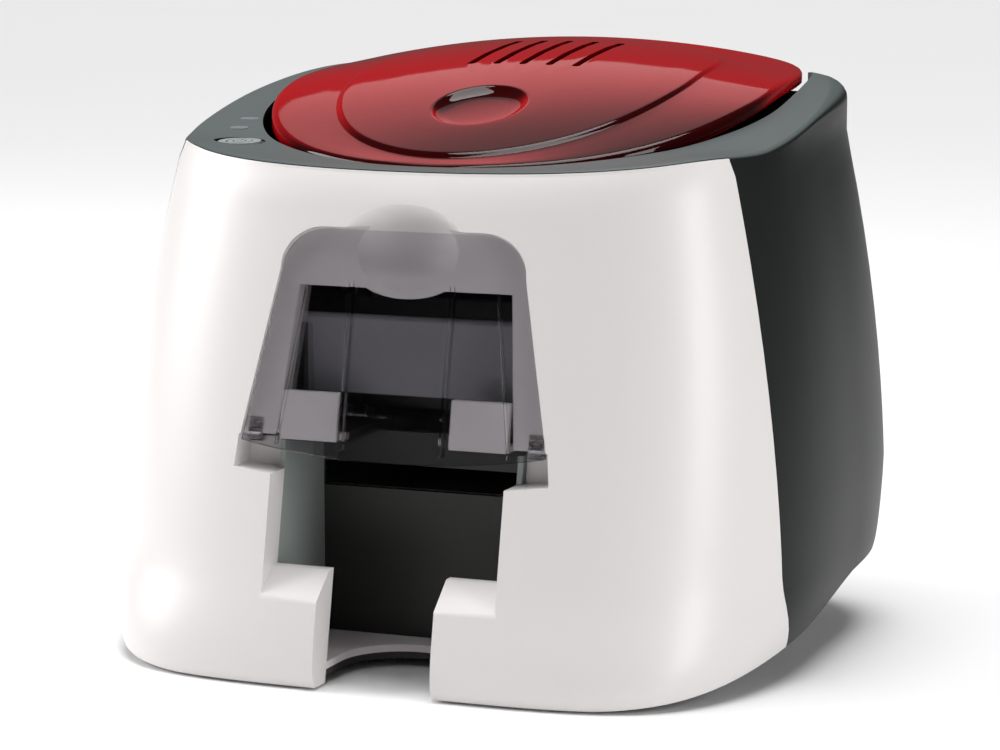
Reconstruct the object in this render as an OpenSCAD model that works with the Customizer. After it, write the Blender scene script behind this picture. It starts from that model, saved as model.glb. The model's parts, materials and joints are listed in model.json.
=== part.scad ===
// Desktop card printer: flared two-tone housing, hinged red lid over the ribbon,
// hinged smoked feeder cover, output bin, rollers, gear train, ribbon and board.
// Millimetres. Front is -Y, top is +Z, the origin is on the floor at the middle.

/* [Housing] */
// Width at the widest level of the flared housing
body_w = 266; // [230:1:300]
// Distance from the middle to the rear wall
rear_d = 111.4; // [95:0.1:130]
// Distance from the middle to the foot of the front wall
front_d = 113.66; // [95:0.1:130]
// How far the front wall leans back for each millimetre of height
front_lean = 0.206; // [0.1:0.002:0.3]
// Height of the deck at its front edge
deck_front = 177; // [150:0.1:200]
// How much the deck climbs towards the rear corners
deck_rise = 26.5; // [10:0.1:40]
// Housing wall thickness
wall = 2.6; // [1.8:0.1:4]
// Gap between neighbouring housing parts
seam_gap = 0.3; // [0.1:0.05:1]
// Front to back place of the colour seam at half height
seam_y = -45.3; // [-70:0.1:-20]

/* [Lid] */
// Half width of the lid
lid_a = 95; // [80:0.5:105]
// Reach of the lid in front of its own middle
lid_front = 96; // [80:0.5:105]
// Middle of the lid, front to back
lid_c = 37; // [25:0.5:45]
// Height of the lid crown
lid_top = 214; // [205:0.5:225]
// Lid skin thickness
lid_t = 2.2; // [1.5:0.1:3.5]
// Depth of the lid skirt
lid_skirt = 4.6; // [2:0.1:8]
// Number of vent slots
vents = 5; // [1:1:9]
// Distance between vent slots
vent_pitch = 10.4; // [6:0.1:16]

/* [Feeder and bin] */
// Standard card length, which lies across the machine
card_l = 85.6; // [80:0.1:90]
// Standard card width, which lies front to back
card_w = 54; // [50:0.1:60]
// Side play of the card in its guides
card_play = 0.6; // [0.2:0.1:2]
// Height of the hopper floor, where the cards lie
card_z = 86.3; // [80:0.1:100]
// Depth of the thick rim round the bin and the feeder
rim_depth = 13; // [9:0.5:18]
// Depth of the ledges of the notch under the corners of the cover
ledge_depth = 15.4; // [14:0.1:17]
// Half width of the feeder cover at its foot
cover_foot = 56.4; // [50:0.1:62]
// Height of the lower edge of the cover at its corners
cover_z0 = 83; // [75:0.5:95]
// Height of the top edge of the cover
cover_z1 = 156.4; // [140:0.1:165]
// Thickness of the feeder cover
cover_t = 2.2; // [1.5:0.1:3.5]
// Height of the upper shelf of the notch
shelf_hi = 73.7; // [65:0.1:80]
// Height of the lower shelf of the notch
shelf_lo = 31.7; // [20:0.1:45]
// Half width of the gap between the legs of the notch
leg_half = 21.8; // [15:0.1:30]
// Inside face of the bin's back wall
bin_back_y = -52.6; // [-70:0.1:-45]

/* [Mechanism] */
// Gear module
gear_m = 1; // [0.8:0.1:1.5]
// Gear face width
gear_w = 5; // [3:0.5:8]
// Roller shaft radius
shaft_r = 3; // [2:0.1:4]
// Running clearance on the radius
run_fit = 0.05; // [0.02:0.01:0.09]
// Pick roller radius
pick_r = 8; // [6:0.1:10]
// Feed roller radius
feed_r = 6; // [4:0.1:8]
// Platen roller radius
platen_r = 9; // [7:0.1:11]
// Pinch roller radius
pinch_r = 4; // [3:0.1:5]
// Inside face of the chassis side plates
plate_x = 49; // [47:0.5:55]
// Chassis plate thickness
plate_t = 2.5; // [1.5:0.1:4]

/* [Hidden] */
$fn = 48;
yc = 30;
z_wide = 38;
half_w = body_w / 2;
notch_half = card_l / 2 + card_play;
feeder_half = notch_half + 1;
hinge_y = rear_d - 5.4;
hinge_z = 197;
lid_rear = hinge_y + 1 - lid_c;
// Front edge of the deck, and the length over which the deck climbs
edge_y = -front_d + 36.66;
climb = rear_d - 1.4 - edge_y;
pivot_z = 85.2;
pivot_y = -front_d + front_lean * pivot_z + 7.7;
gate_y = bin_back_y + 18.6;
gap_y = -front_d + 27.66;
socket_y = rear_d - 17.4;
socket_z = 32;
gear_x = -(plate_x + plate_t + 1.2 + gear_w);
pa = 25;
pick_p = [-41, card_z - pick_r];
feed_p = [-12, card_z - feed_r];
platen_p = [20, card_z - platen_r];
pinch_p = [feed_p[0], card_z + 0.5 + pinch_r];
n_platen = 36;
n_feed = 18;
n_pick = 18;
n_low = 20;
n_mid = 14;
n_high = 40;
n_take = 24;
n_motor = 14;
low_p = mesh_point(platen_p, feed_p, n_platen + n_low, n_feed + n_low);
mid_p = mesh_point(feed_p, pick_p, n_feed + n_mid, n_pick + n_mid);
high_p = polar(platen_p, (n_platen + n_high) * gear_m / 2, 100);
take_p = polar(high_p, (n_high + n_take) * gear_m / 2, 150);
motor_p = polar(platen_p, (n_platen + n_motor) * gear_m / 2, -35);
supply_p = [54, take_p[1]];
arm_p = [84, 104];
flap_p = [-front_d + front_lean * 124 + rim_depth + 3.6, 124];
button_c = [-half_w + 49.3, edge_y + 41];
led_c = [[-half_w + 38.7, edge_y + 62.7], [-half_w + 36.8, edge_y + 75.5]];
button_tilt = 4.5;
led_tilt = 9.5;
ear_x = 52;
shell_posts = [[half_w - 29, 4], [half_w - 33, 60]];
front_post = [half_w - 29, -front_d + 56.66];

// Angles round the housing, closer together at the rear corners
ring_a = concat(
  [for (a = [0:6:18]) a], [for (a = [24:3:51]) a], [for (a = [54:12:114]) a],
  [for (a = [126:3:153]) a], [for (a = [156:6:354]) a]);
ring_n = len(ring_a);

// Housing form

function low_part(z, top) = max(0, (top - z) / top);
function width_at(z) =
  half_w - 16 * pow(low_part(z, z_wide), 2.2)
  - (z > z_wide ? min(17.5, 0.00085 * pow(z - z_wide, 2)) : 0);
function front_at(z) = -front_d + front_lean * z + 5 * exp(-max(z, 0) / 5);
function rear_at(z) = rear_d - 7 * pow(low_part(z, 30), 2);
function nose_at(z) = 3.1 + 1.7 * pow(low_part(z, z_wide), 1.5);
function tail_at(z) = 6 - 3.2 * pow(low_part(z, 60), 1.2);
function smooth(t) = t * t * (3 - 2 * t);
function unit(t) = min(1, max(0, t));
function deck_z(y) =
  deck_front + deck_rise * (0.8 * smooth(unit((y - edge_y) / climb)) + 0.2 * unit((y - edge_y) / climb));
function foot_z(y) =
  1 + 0.16 * max(0, min(y, 30) + 106) + 4.4 * smooth(unit((y + 20) / 60)) + 0.05 * max(0, y - 30);
function seam_line(z) = seam_y + 0.00035 * pow(max(0, z - 55), 2) + 0.08 * pow(max(0, 35 - z), 1.5);

// Height of the deck at a point: its front edge is arched, and it dips towards the lid by t
function rim_z(p, t = 0) =
  deck_z(p[1]) + 0.00035 * p[0] * p[0] * smooth(unit((-18 - p[1]) / 38))
  - 2.3 * t * smooth(unit(-p[1] / 58));

// Point on the housing plan at angle a and height z, moved in by off
function ring(a, z, off) =
  let (
    c = cos(a),
    s = sin(a),
    n = s < 0 ? nose_at(z) : tail_at(z),
    b = (s < 0 ? yc - front_at(z) : rear_at(z) - yc) - off,
    w = width_at(z) - off,
    r = pow(pow(abs(c) / w, n) + pow(abs(s) / b, n), -1 / n),
    t = s < 0 ? 0 : r * s / b)
  [r * c * (1 - 0.09 * t * t) * (1 - 0.03 * low_part(z, 62) * smooth(unit((r * s + 70) / 70))),
    yc + r * s];

// Point on the lid plan, moved in by off
function lid_ring(a, off) =
  let (
    c = cos(a),
    s = sin(a),
    n = s < 0 ? 2 : 9,
    b = (s < 0 ? lid_front : lid_rear) - off,
    w = lid_a - off,
    r = pow(pow(abs(c) / w, n) + pow(abs(s) / b, n), -1 / n),
    t = s < 0 ? 0 : r * s / b)
  [r * c * (1 - 0.075 * t * t), lid_c + r * s];

function mix2(p, q, t) = p + (q - p) * t;

// Faces of a closed form made of rings, with a point at each end
function form_faces(m, n) = concat(
  [for (i = [0:n - 1]) [0, 1 + i, 1 + (i + 1) % n]],
  [for (j = [0:m - 2], i = [0:n - 1])
    [1 + j * n + i, 1 + (j + 1) * n + i, 1 + (j + 1) * n + (i + 1) % n]],
  [for (j = [0:m - 2], i = [0:n - 1])
    [1 + j * n + i, 1 + (j + 1) * n + (i + 1) % n, 1 + j * n + (i + 1) % n]],
  [for (i = [0:n - 1]) [1 + m * n, 1 + (m - 1) * n + (i + 1) % n, 1 + (m - 1) * n + i]]);

// One point of the housing wall: f runs from the foot to the deck edge
function wall_pt(a, f, off, drop) =
  let (
    z0 = foot_z(ring(a, 6, off)[1]) - drop,
    z1 = rim_z(ring(a, 190, off)) - 2,
    z = z0 + f * (z1 - z0),
    p = ring(a, z, off))
  [p[0], p[1], z];

// One point of the deck: in is measured from the outer edge, dz from the deck
function deck_pt(a, in, dz) =
  let (p = ring(a, 190, in)) [p[0], p[1], rim_z(p) + dz];

function inner_pt(a, in, t, dz) =
  let (p = mix2(ring(a, 190, in), mix2([0, lid_c], lid_ring(a, 0), 0.9), t))
  [p[0], p[1], rim_z(p, t) + dz];

// Solid housing form inset by off; drop lowers its foot
module housing(off, drop) {
  fs = [0, 0.03, 0.07, 0.13, 0.2, 0.3, 0.45, 0.62, 0.8, 0.92];
  top = off > 0 ? -wall : 0;
  points = concat(
    [[0, 0, -drop]],
    [for (f = fs, a = ring_a) wall_pt(a, f, off, drop)],
    [for (a = ring_a) deck_pt(a, off + 0, top - 2)],
    [for (a = ring_a) deck_pt(a, off + 0.7, top - 0.8)],
    [for (a = ring_a) deck_pt(a, off + 2.2, top - 0.1)],
    [for (a = ring_a) inner_pt(a, off + 2.2, 0.5, top + 0.2)],
    [for (a = ring_a) inner_pt(a, off + 2.2, 1, top + 0.2)],
    [[0, lid_c, deck_z(lid_c) + top]]);
  polyhedron(points = points, faces = form_faces(15, ring_n));
}

// Everything in front of the curved seam and under the bezel, less a gap
module front_zone(g) {
  intersection() {
    yz_prism(concat([[-300, -20]], [for (z = [-20:5:200]) [seam_line(z) - g, z]], [[-300, 200]]), -200, 200);
    under_deck(g);
  }
}

module under_deck(g) {
  points = concat(
    [[0, lid_c, -20]],
    [for (a = ring_a) let (p = ring(a, 60, -30)) [p[0], p[1], -20]],
    [for (a = ring_a) let (p = ring(a, 190, -30), q = ring(a, 190, 0)) [p[0], p[1], rim_z(q) - 0.8 - g]],
    [for (a = ring_a) deck_pt(a, 0.8, -0.8 - g)],
    [for (a = ring_a) deck_pt(a, 2.5, -2.8 - g)],
    [[0, lid_c, 150]]);
  polyhedron(points = points, faces = form_faces(4, ring_n));
}

// Prism along X with a profile in Y and Z
module yz_prism(points, x0, x1) {
  translate([x0, 0, 0]) rotate([90, 0, 90]) linear_extrude(height = x1 - x0) polygon(points);
}

// Prism along Y with a profile in X and Z
module xz_prism(points, y0, y1) {
  translate([0, y1, 0]) rotate([90, 0, 0]) linear_extrude(height = y1 - y0) polygon(points);
}

// Round bar along X
module x_bar(p, r, x0, x1) {
  translate([x0, p[0], p[1]]) rotate([0, 90, 0]) cylinder(r = r, h = x1 - x0);
}

// Slab parallel to the leaning front wall, from depth d0 to depth d1
module lean_slab(d0, d1, z0, z1, x0, x1) {
  yz_prism([
    [-front_d + front_lean * z0 + d0, z0], [-front_d + front_lean * z0 + d1, z0],
    [-front_d + front_lean * z1 + d1, z1], [-front_d + front_lean * z1 + d0, z1]], x0, x1);
}

module stadium(len, wid) {
  r = wid / 2;
  union() {
    square([len - wid, wid], center = true);
    translate([-(len - wid) / 2, 0]) circle(r);
    translate([(len - wid) / 2, 0]) circle(r);
  }
}

// Half width of the feeder cover at height z
function cover_half(z) =
  z < 142 ? cover_foot - (z - cover_z0) * 0.195
  : cover_foot - 59 * 0.195 - 16.5 * (1 - sqrt(max(0, 1 - pow(min(z - 142, 14.4) / 14.4, 2))));

function cover_low(u) = cover_z0 - 4.4 * (1 - u * u);

module cover_outline(g) {
  side = [for (z = [cover_z0:12:131], s = [1]) z];
  arc = [for (k = [0:15:75]) 142 + 14.4 * sin(k)];
  right = concat([for (z = side) [cover_half(z) + g, z]], [for (z = arc) [cover_half(z) + g, z + g]]);
  left = [for (i = [len(right) - 1:-1:0]) [-right[i][0], right[i][1]]];
  polygon(concat([[cover_foot + g, cover_z0 - 6]], right, [[28, cover_z1 + g], [-28, cover_z1 + g]],
    left, [[-cover_foot - g, cover_z0 - 6]]));
}

module front_shell() {
  // Solid rim kept behind the notch and the feeder, then the notch itself
  color([0.95, 0.94, 0.94])
  difference() {
    union() {
      difference() {
        intersection() {
          housing(0, 0);
          front_zone(seam_gap / 2);
        }
        difference() {
          housing(wall, 6);
          lean_slab(-30, rim_depth, -8, 172, -64, 64);
          for (s = [-1, 1]) {
            shell_post(front_post, s, 6);
            lean_slab(-30, ledge_depth + 2, 66, shelf_hi + 9, s > 0 ? notch_half + 2.4 : -64,
              s > 0 ? 64 : -notch_half - 2.4);
          }
        }
        feeder_mouth();
        notch();
      }
      scoop_boss();
    }
    scoop();
    cover_recess();
    // Pockets where the knuckles of the cover turn
    for (s = [-1, 1]) translate([s > 0 ? 49.4 : -55, pivot_y - 11.6, pivot_z - 5.8]) cube([5.6, 17, 11.2]);
    x_bar([pivot_y, pivot_z], 1.5, -62, 62);
    for (s = [-1, 1]) post_bore(front_post, s);
  }
}

// Screw post inside a shell, with a rib to the wall
function post_z(p) = foot_z(p[1] + 8) + 0.2;
module shell_post(p, s, r) {
  translate([s * p[0], p[1], post_z(p)]) cylinder(r = r, h = 30);
  translate([s > 0 ? p[0] : -p[0] - 36, p[1] - 1.5, post_z(p)]) cube([36, 3, 30]);
}

module post_bore(p, s) {
  translate([s * p[0], p[1], -1]) cylinder(r = 1.25, h = post_z(p) + 12);
}

module notch() {
  xz_prism([
    [-leg_half, -12], [leg_half, -12], [leg_half, shelf_lo + 9],
    [notch_half, shelf_lo + 9], [notch_half, cover_z0 + 2], [-notch_half, cover_z0 + 2],
    [-notch_half, shelf_lo + 9], [-leg_half, shelf_lo + 9]],
    -front_d - 17, -front_d + 33.66);
  // Ledges under the corners of the cover, backed by the rim
  intersection() {
    xz_prism([
      [-58.6, shelf_hi], [-notch_half, shelf_hi - 1.4], [notch_half, shelf_hi - 1.4], [58.6, shelf_hi],
      [57.4, cover_z0 + 2], [-57.4, cover_z0 + 2]],
      -front_d - 17, -front_d + 33.66);
    lean_slab(-30, ledge_depth, 60, 100, -64, 64);
  }
  // Lower shelves slope down towards the front edge
  for (s = [-1, 1])
    translate([0, -front_d, shelf_lo])
      yz_prism([[-17, -4], [5.66, -1.5], [17.66, 8.2], [33.66, 8.6], [33.66, 14], [-17, 14]],
      s > 0 ? leg_half - 0.2 : -notch_half, s > 0 ? notch_half : -leg_half + 0.2);
}

module feeder_mouth() {
  xz_prism([[-feeder_half, cover_z0 - 2], [feeder_half, cover_z0 - 2],
    [feeder_half - 4.8, 136.4], [4.8 - feeder_half, 136.4]], -front_d - 6, -front_d + 53.66);
}

module cover_recess() {
  intersection() {
    translate([0, -front_d + 53.66, 0]) rotate([90, 0, 0]) linear_extrude(height = 70) cover_outline(0.8);
    lean_slab(-30, 6, 70, 172, -70, 70);
  }
}

// Rounded bowl for a finger above the cover
module scoop_form(grow) {
  translate([0, -front_d + 19.16, 150.1]) rotate_extrude() intersection() {
    translate([5.2, 0]) circle(18.9 + grow);
    translate([0, -40]) square([40, 80]);
  }
}

module scoop() {
  scoop_form(0);
}

module scoop_boss() {
  intersection() {
    scoop_form(2.4);
    lean_slab(4, 26, 125, 172, -30, 30);
  }
}

module rear_shell() {
  color([0.16, 0.17, 0.18])
  difference() {
    union() {
      difference() {
        housing(0, 0);
        difference() {
          housing(wall, 6);
          // Inside: posts for the case screws and for the button board
          for (s = [-1, 1]) {
            for (p = shell_posts) shell_post(p, s, 6);
            translate([button_c[0] + s * 13, button_c[1], 168]) cylinder(r = 2.2, h = 20);
          }
        }
        front_zone(-seam_gap / 2);
        lid_opening();
        translate([-91.5, hinge_y - 8, hinge_z - 2.4]) cube([183, 30, 60]);
      }
      for (s = [-1, 1]) hinge_ears(s);
    }
    button_hole();
    for (p = led_c) led_form(p, 7.4, 4.2, 10);
    rear_sockets();
    for (s = [-1, 1], p = shell_posts) post_bore(p, s);
    x_bar([hinge_y, hinge_z], 1.5, -ear_x - 18, ear_x + 18);
    for (s = [-1, 1])
      x_bar([hinge_y, hinge_z], 4.2, s > 0 ? ear_x - 0.3 : -ear_x - 10.3, s > 0 ? ear_x + 10.3 : -ear_x + 0.3);
  }
}

// Two ears each side stand on the rear wall, and the lid knuckle turns between them
module hinge_ears(s) {
  for (x = [ear_x - 6, ear_x + 10.4])
    union() {
      x_bar([hinge_y, hinge_z], 3.7, s > 0 ? x : -x - 5.6, s > 0 ? x + 5.6 : -x);
      translate([s > 0 ? x : -x - 5.6, hinge_y - 3, hinge_z - 14]) cube([5.6, 6.6, 14]);
    }
}

module lid_opening() {
  translate([0, 0, 150]) linear_extrude(height = 90)
    polygon([for (a = ring_a)
      let (p = lid_ring(a, sin(a) < 0 ? -1.2 - 2.4 * abs(cos(a)) : -1.4 - 2.2 * abs(cos(a))))
      [p[0], min(p[1], hinge_y + 1.9)]]);
}

module button_hole() {
  translate([button_c[0], button_c[1], rim_z(button_c)]) rotate([button_tilt, 0, 0]) {
    translate([0, 0, -1.3]) linear_extrude(height = 12) stadium(19, 15.4);
    translate([0, 0, -12]) linear_extrude(height = 24) stadium(16.6, 13.2);
  }
}

// Indicator shape set square to the deck
module led_form(p, len, wid, h) {
  translate([p[0], p[1], rim_z(p)]) rotate([led_tilt, 0, 0]) translate([0, 0, -wall - 0.4])
    linear_extrude(height = h) stadium(len, wid);
}

module rear_sockets() {
  translate([36, rear_d + 5, socket_z + 11]) rotate([90, 0, 0]) cylinder(r = 5.2, h = 12);
  translate([9.7, rear_d - 8, socket_z + 4.4]) cube([12.6, 16, 11.6]);
  for (i = [-5:5]) translate([i * 11 - 1.6, rear_d - 6, 62]) cube([3.2, 12, 46]);
}

// Base: flat in the middle, with flared sides that rise to the foot of the shells
module base_tray() {
  color([0.12, 0.12, 0.13])
  difference() {
    tray_form(wall + 0.9, 3, 3);
    difference() {
      tray_form(wall + 2.8, 5.4, 16);
      for (s = [-1, 1], y = [-22, socket_y - 6]) translate([s * 42, y, 0]) cylinder(r = 5, h = 14);
      for (s = [-1, 1]) {
        for (p = shell_posts) tray_boss(p, s);
        tray_boss(front_post, s);
      }
    }
    lean_slab(-30, rim_depth + 0.3, -5, 30, -64.3, 64.3);
    translate([-leg_half - 0.4, gap_y - 44, -5]) cube([2 * leg_half + 0.8, 44, 30]);
    translate([0, gap_y, 0]) cylinder(r = leg_half + 0.4, h = 30, center = true);
    // Room behind the sockets, and slots for the ribs of the shells' posts
    translate([2, socket_y + 6, socket_z - 0.2]) cube([46, 20, 10]);
    for (s = [-1, 1], p = concat(shell_posts, [front_post])) {
      tray_bore(p, s);
      translate([s > 0 ? p[0] : -p[0] - 36, p[1] - 1.8, post_z(p)]) cube([36, 3.6, 12]);
    }
  }
}

// Plan of the flat part of the base
function keel(a, off) =
  let (c = cos(a), s = sin(a), w = half_w - 39 - off, b = (s < 0 ? front_d + 18.34 : rear_d - 44.4) - off,
    r = pow(pow(abs(c) / w, 5) + pow(abs(s) / b, 5), -1 / 5))
  [r * c, yc + r * s];

// Dish with its bottom at height z0 and its rim up above the foot of the shells
module tray_form(off, z0, up) {
  points = concat(
    [[0, yc, z0]],
    [for (a = ring_a) let (p = keel(a, off - 3)) [p[0], p[1], z0]],
    [for (a = ring_a) let (z = tray_z(a, off)) tray_pt(a, z, off, z0 - 3)],
    [for (a = ring_a) let (z = tray_z(a, off)) tray_pt(a, z, off, up)],
    [[0, yc, 30 + up]]);
  polyhedron(points = points, faces = form_faces(3, ring_n));
}
function tray_z(a, off) = max(3.4, foot_z(ring(a, 6, off)[1]) + 0.2);
function tray_pt(a, z, off, up) = let (p = ring(a, z + up, off)) [p[0], p[1], z + up];

module tray_boss(p, s) {
  translate([s * p[0], p[1], 0]) cylinder(r = 6, h = post_z(p));
}

module tray_bore(p, s) {
  translate([s * p[0], p[1], 0]) cylinder(r = 1.6, h = 40);
  translate([s * p[0], p[1], -1]) cylinder(r = 3.2, h = post_z(p) - 2);
}

module feet() {
  color([0.08, 0.08, 0.08])
  for (s = [-1, 1], p = [[half_w - 53, -front_d + 43.66], [half_w - 55, rear_d - 37.4]]) translate([s * p[0], p[1], 0]) union() {
    cylinder(r1 = 7, r2 = 8, h = 1.5);
    translate([0, 0, 1.5]) cylinder(r = 8, h = 1.5);
  }
}

module case_screws() {
  color([0.55, 0.56, 0.58])
  for (s = [-1, 1]) {
    for (p = shell_posts) case_screw(p, s);
    case_screw(front_post, s);
  }
}

module case_screw(p, s) {
  translate([s * p[0], p[1], post_z(p) - 3]) union() {
    translate([0, 0, -1.8]) difference() {
      cylinder(r = 2.8, h = 1.8);
      translate([0, 0, -0.5]) cylinder(r = 1.3, h = 1.5, $fn = 6);
    }
    cylinder(r = 1.25, h = 13);
  }
}

// Lid

function lid_side(y) =
  y < lid_c ? lid_a * sqrt(max(0.0001, 1 - pow((y - lid_c) / lid_front, 2)))
  : lid_a * (1 - 0.075 * pow((y - lid_c) / lid_rear, 2));
function crown_z(y) = lid_top - 37.5 * pow((100 - y) / 159, 2);
function lid_edge(y) = deck_z(y) - 1.6 + 5.9 * smooth(unit((y - lid_c + lid_front) / 80)) - 4.2 * smooth(unit((y - 30) / 65));
function lid_z(p) =
  let (e = lid_edge(p[1]) + 1.2, k = min(1, abs(p[0]) / lid_side(p[1])))
  crown_z(p[1]) - max(0, crown_z(p[1]) - e) * k * k;

function crease(a, off) =
  let (c = cos(a), s = sin(a), w = 67 - off, b = (s < 0 ? 86 : 64) - off, n = s < 0 ? 2 : 4,
    r = pow(pow(abs(c) / w, n) + pow(abs(s) / b, n), -1 / n))
  [r * c, 35 + r * s];
function dish(a, r) = [r * cos(a), -11 + r * sin(a)];

function lift(p, dz) = [p[0], p[1], lid_z(p) + dz];
function skirt_z(p) = p[1] > hinge_y - 6 ? hinge_z + 0.4 : lid_z(p) - lid_skirt;

module lid_dome() {
  points = concat(
    [[0, -11, lid_z([0, -11]) - 3.4]],
    [for (a = ring_a) lift(dish(a, 9), -3.2)],
    [for (a = ring_a) lift(dish(a, 15.4), -2.2)],
    [for (a = ring_a) lift(dish(a, 17.2), 0)],
    [for (a = ring_a) lift(mix2(dish(a, 17.2), crease(a, 2), 0.28), 0)],
    [for (a = ring_a) lift(mix2(dish(a, 17.2), crease(a, 2), 0.6), 0)],
    [for (a = ring_a) lift(crease(a, 2.4), 0)],
    [for (a = ring_a) lift(crease(a, 0.2), -1.1)],
    [for (a = ring_a) lift(mix2(crease(a, 0.2), lid_ring(a, 1.4), 0.5), -0.8)],
    [for (a = ring_a) lift(lid_ring(a, 1.4), -0.2)],
    [for (a = ring_a) let (p = lid_ring(a, 0)) [p[0], p[1], lid_z(p) - 1.2]],
    [for (a = ring_a) let (p = lid_ring(a, 0)) [p[0], p[1], skirt_z(p)]],
    [for (a = ring_a) let (p = lid_ring(a, 0), q = lid_ring(a, lid_t)) [q[0], q[1], skirt_z(p)]],
    [for (a = ring_a) let (q = lid_ring(a, lid_t + 0.6)) [q[0], q[1], lid_z(q) - lid_t - 1.4]],
    [for (a = ring_a) lift(mix2(crease(a, 1.2), lid_ring(a, 3), 0.45), -lid_t - 0.9)],
    [for (a = ring_a) lift(crease(a, 2), -lid_t - 1)],
    [for (a = ring_a) lift(mix2(dish(a, 18), crease(a, 2), 0.45), -lid_t)],
    [for (a = ring_a) lift(dish(a, 17.6), -lid_t - 1.6)],
    [for (a = ring_a) lift(dish(a, 10), -lid_t - 3.1)],
    [[0, -11, lid_z([0, -11]) - lid_t - 3.4]]);
  polyhedron(points = points, faces = [for (f = form_faces(18, ring_n)) [f[0], f[2], f[1]]]);
}

module top_lid() {
  color([0.75, 0.06, 0.09, 0.75])
  difference() {
    union() {
      lid_dome();
      // Hinge knuckles, and the ribbed bracket under the front
      for (s = [-1, 1]) {
        x_bar([hinge_y, hinge_z], 3.7, s > 0 ? ear_x : -ear_x - 10, s > 0 ? ear_x + 10 : -ear_x);
        translate([s > 0 ? ear_x : -ear_x - 10, hinge_y - 3.6, hinge_z + 1.5]) cube([10, 4.4, 11]);
      }
      for (x = [2, 8, 14]) yz_prism([[-42, 176], [-34, 176], [-34, 185.6], [-42, 182.6]], x, x + 1.6);
      translate([2, -42, 174.4]) cube([13.6, 8, 2]);
    }
    for (i = [0:vents - 1]) translate([(i - (vents - 1) / 2) * vent_pitch, 56.5, 190])
      rotate([0, 0, 88]) linear_extrude(height = 40) stadium(48, 2.1);
    for (s = [-1, 1], x = [ear_x - 6.4, ear_x + 10])
      x_bar([hinge_y, hinge_z], 4.4, s > 0 ? x : -x - 6.4, s > 0 ? x + 6.4 : -x);
    x_bar([hinge_y, hinge_z], 1.5 + run_fit, -80, 80);
  }
}

module lid_hinge_pins() {
  color([0.7, 0.71, 0.73])
  for (s = [-1, 1])
    x_bar([hinge_y, hinge_z], 1.5, s > 0 ? ear_x - 6 : -ear_x - 16, s > 0 ? ear_x + 16 : -ear_x + 6);
}

// Feeder cover: a patch of the housing front with curved foot and round shoulders

function front_surf(x, z) =
  let (n = nose_at(z), w = width_at(z), b = yc - front_at(z))
  yc - b * pow(1 - pow(min(0.98, abs(x) / w), n), 1 / n);
function cover_xz(u, v) =
  let (z = cover_low(u) + (cover_z1 - cover_low(u)) * v) [u * cover_half(z), z];
function cover_pt(u, v, d) =
  let (q = cover_xz(u, v)) [q[0], front_surf(q[0], q[1]) + d, q[1]];

module cover_skin() {
  us = [for (i = [-9:9]) i / 9];
  vs = [0, 0.1, 0.25, 0.42, 0.6, 0.75, 0.84, 0.9, 0.95, 0.985, 1];
  nu = len(us);
  nv = len(vs);
  n = nu * nv;
  points = concat([for (v = vs, u = us) cover_pt(u, v, 0.1)], [for (v = vs, u = us) cover_pt(u, v, 0.1 + cover_t)]);
  faces = concat(
    [for (j = [0:nv - 2], i = [0:nu - 2]) [j * nu + i, (j + 1) * nu + i + 1, j * nu + i + 1]],
    [for (j = [0:nv - 2], i = [0:nu - 2]) [j * nu + i, (j + 1) * nu + i, (j + 1) * nu + i + 1]],
    [for (j = [0:nv - 2], i = [0:nu - 2]) [n + j * nu + i, n + j * nu + i + 1, n + (j + 1) * nu + i + 1]],
    [for (j = [0:nv - 2], i = [0:nu - 2]) [n + j * nu + i, n + (j + 1) * nu + i + 1, n + (j + 1) * nu + i]],
    [for (i = [0:nu - 2]) [i, i + 1, n + i + 1]],
    [for (i = [0:nu - 2]) [i, n + i + 1, n + i]],
    [for (i = [0:nu - 2]) [(nv - 1) * nu + i, n + (nv - 1) * nu + i + 1, (nv - 1) * nu + i + 1]],
    [for (i = [0:nu - 2]) [(nv - 1) * nu + i, n + (nv - 1) * nu + i, n + (nv - 1) * nu + i + 1]],
    [for (j = [0:nv - 2]) [j * nu, n + j * nu, n + (j + 1) * nu]],
    [for (j = [0:nv - 2]) [j * nu, n + (j + 1) * nu, (j + 1) * nu]],
    [for (j = [0:nv - 2]) [j * nu + nu - 1, n + (j + 1) * nu + nu - 1, n + j * nu + nu - 1]],
    [for (j = [0:nv - 2]) [j * nu + nu - 1, (j + 1) * nu + nu - 1, n + (j + 1) * nu + nu - 1]]);
  polyhedron(points = points, faces = faces);
}

module cover_rib(x, depth, z0, z1) {
  yz_prism([
    [-front_d + front_lean * z0 + cover_t - 0.4, z0], [-front_d + front_lean * z0 + cover_t + depth, z0],
    [-front_d + front_lean * z1 + cover_t + depth * 0.6, z1 - 4], [-front_d + front_lean * z1 + cover_t - 0.4, z1]],
    x - 0.8, x + 0.8);
}

module feeder_cover() {
  color([0.55, 0.55, 0.6, 0.6])
  difference() {
    union() {
      cover_skin();
      for (s = [-1, 1]) {
        cover_rib(s * 18.8, 3.4, 81.5, 140);
        x_bar([pivot_y, pivot_z], 3.2, s > 0 ? 50 : -54.4, s > 0 ? 54.4 : -50);
        translate([s > 0 ? 50 : -54.4, pivot_y - 4.6, pivot_z - 2.4]) cube([4.4, 5, 6.4]);
      }
    }
    x_bar([pivot_y, pivot_z], 1.5 + run_fit, -60, 60);
  }
}

module cover_pins() {
  color([0.7, 0.71, 0.73])
  for (s = [-1, 1]) x_bar([pivot_y, pivot_z], 1.5, s > 0 ? 50 : -61.5, s > 0 ? 61.5 : -50);
}

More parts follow.
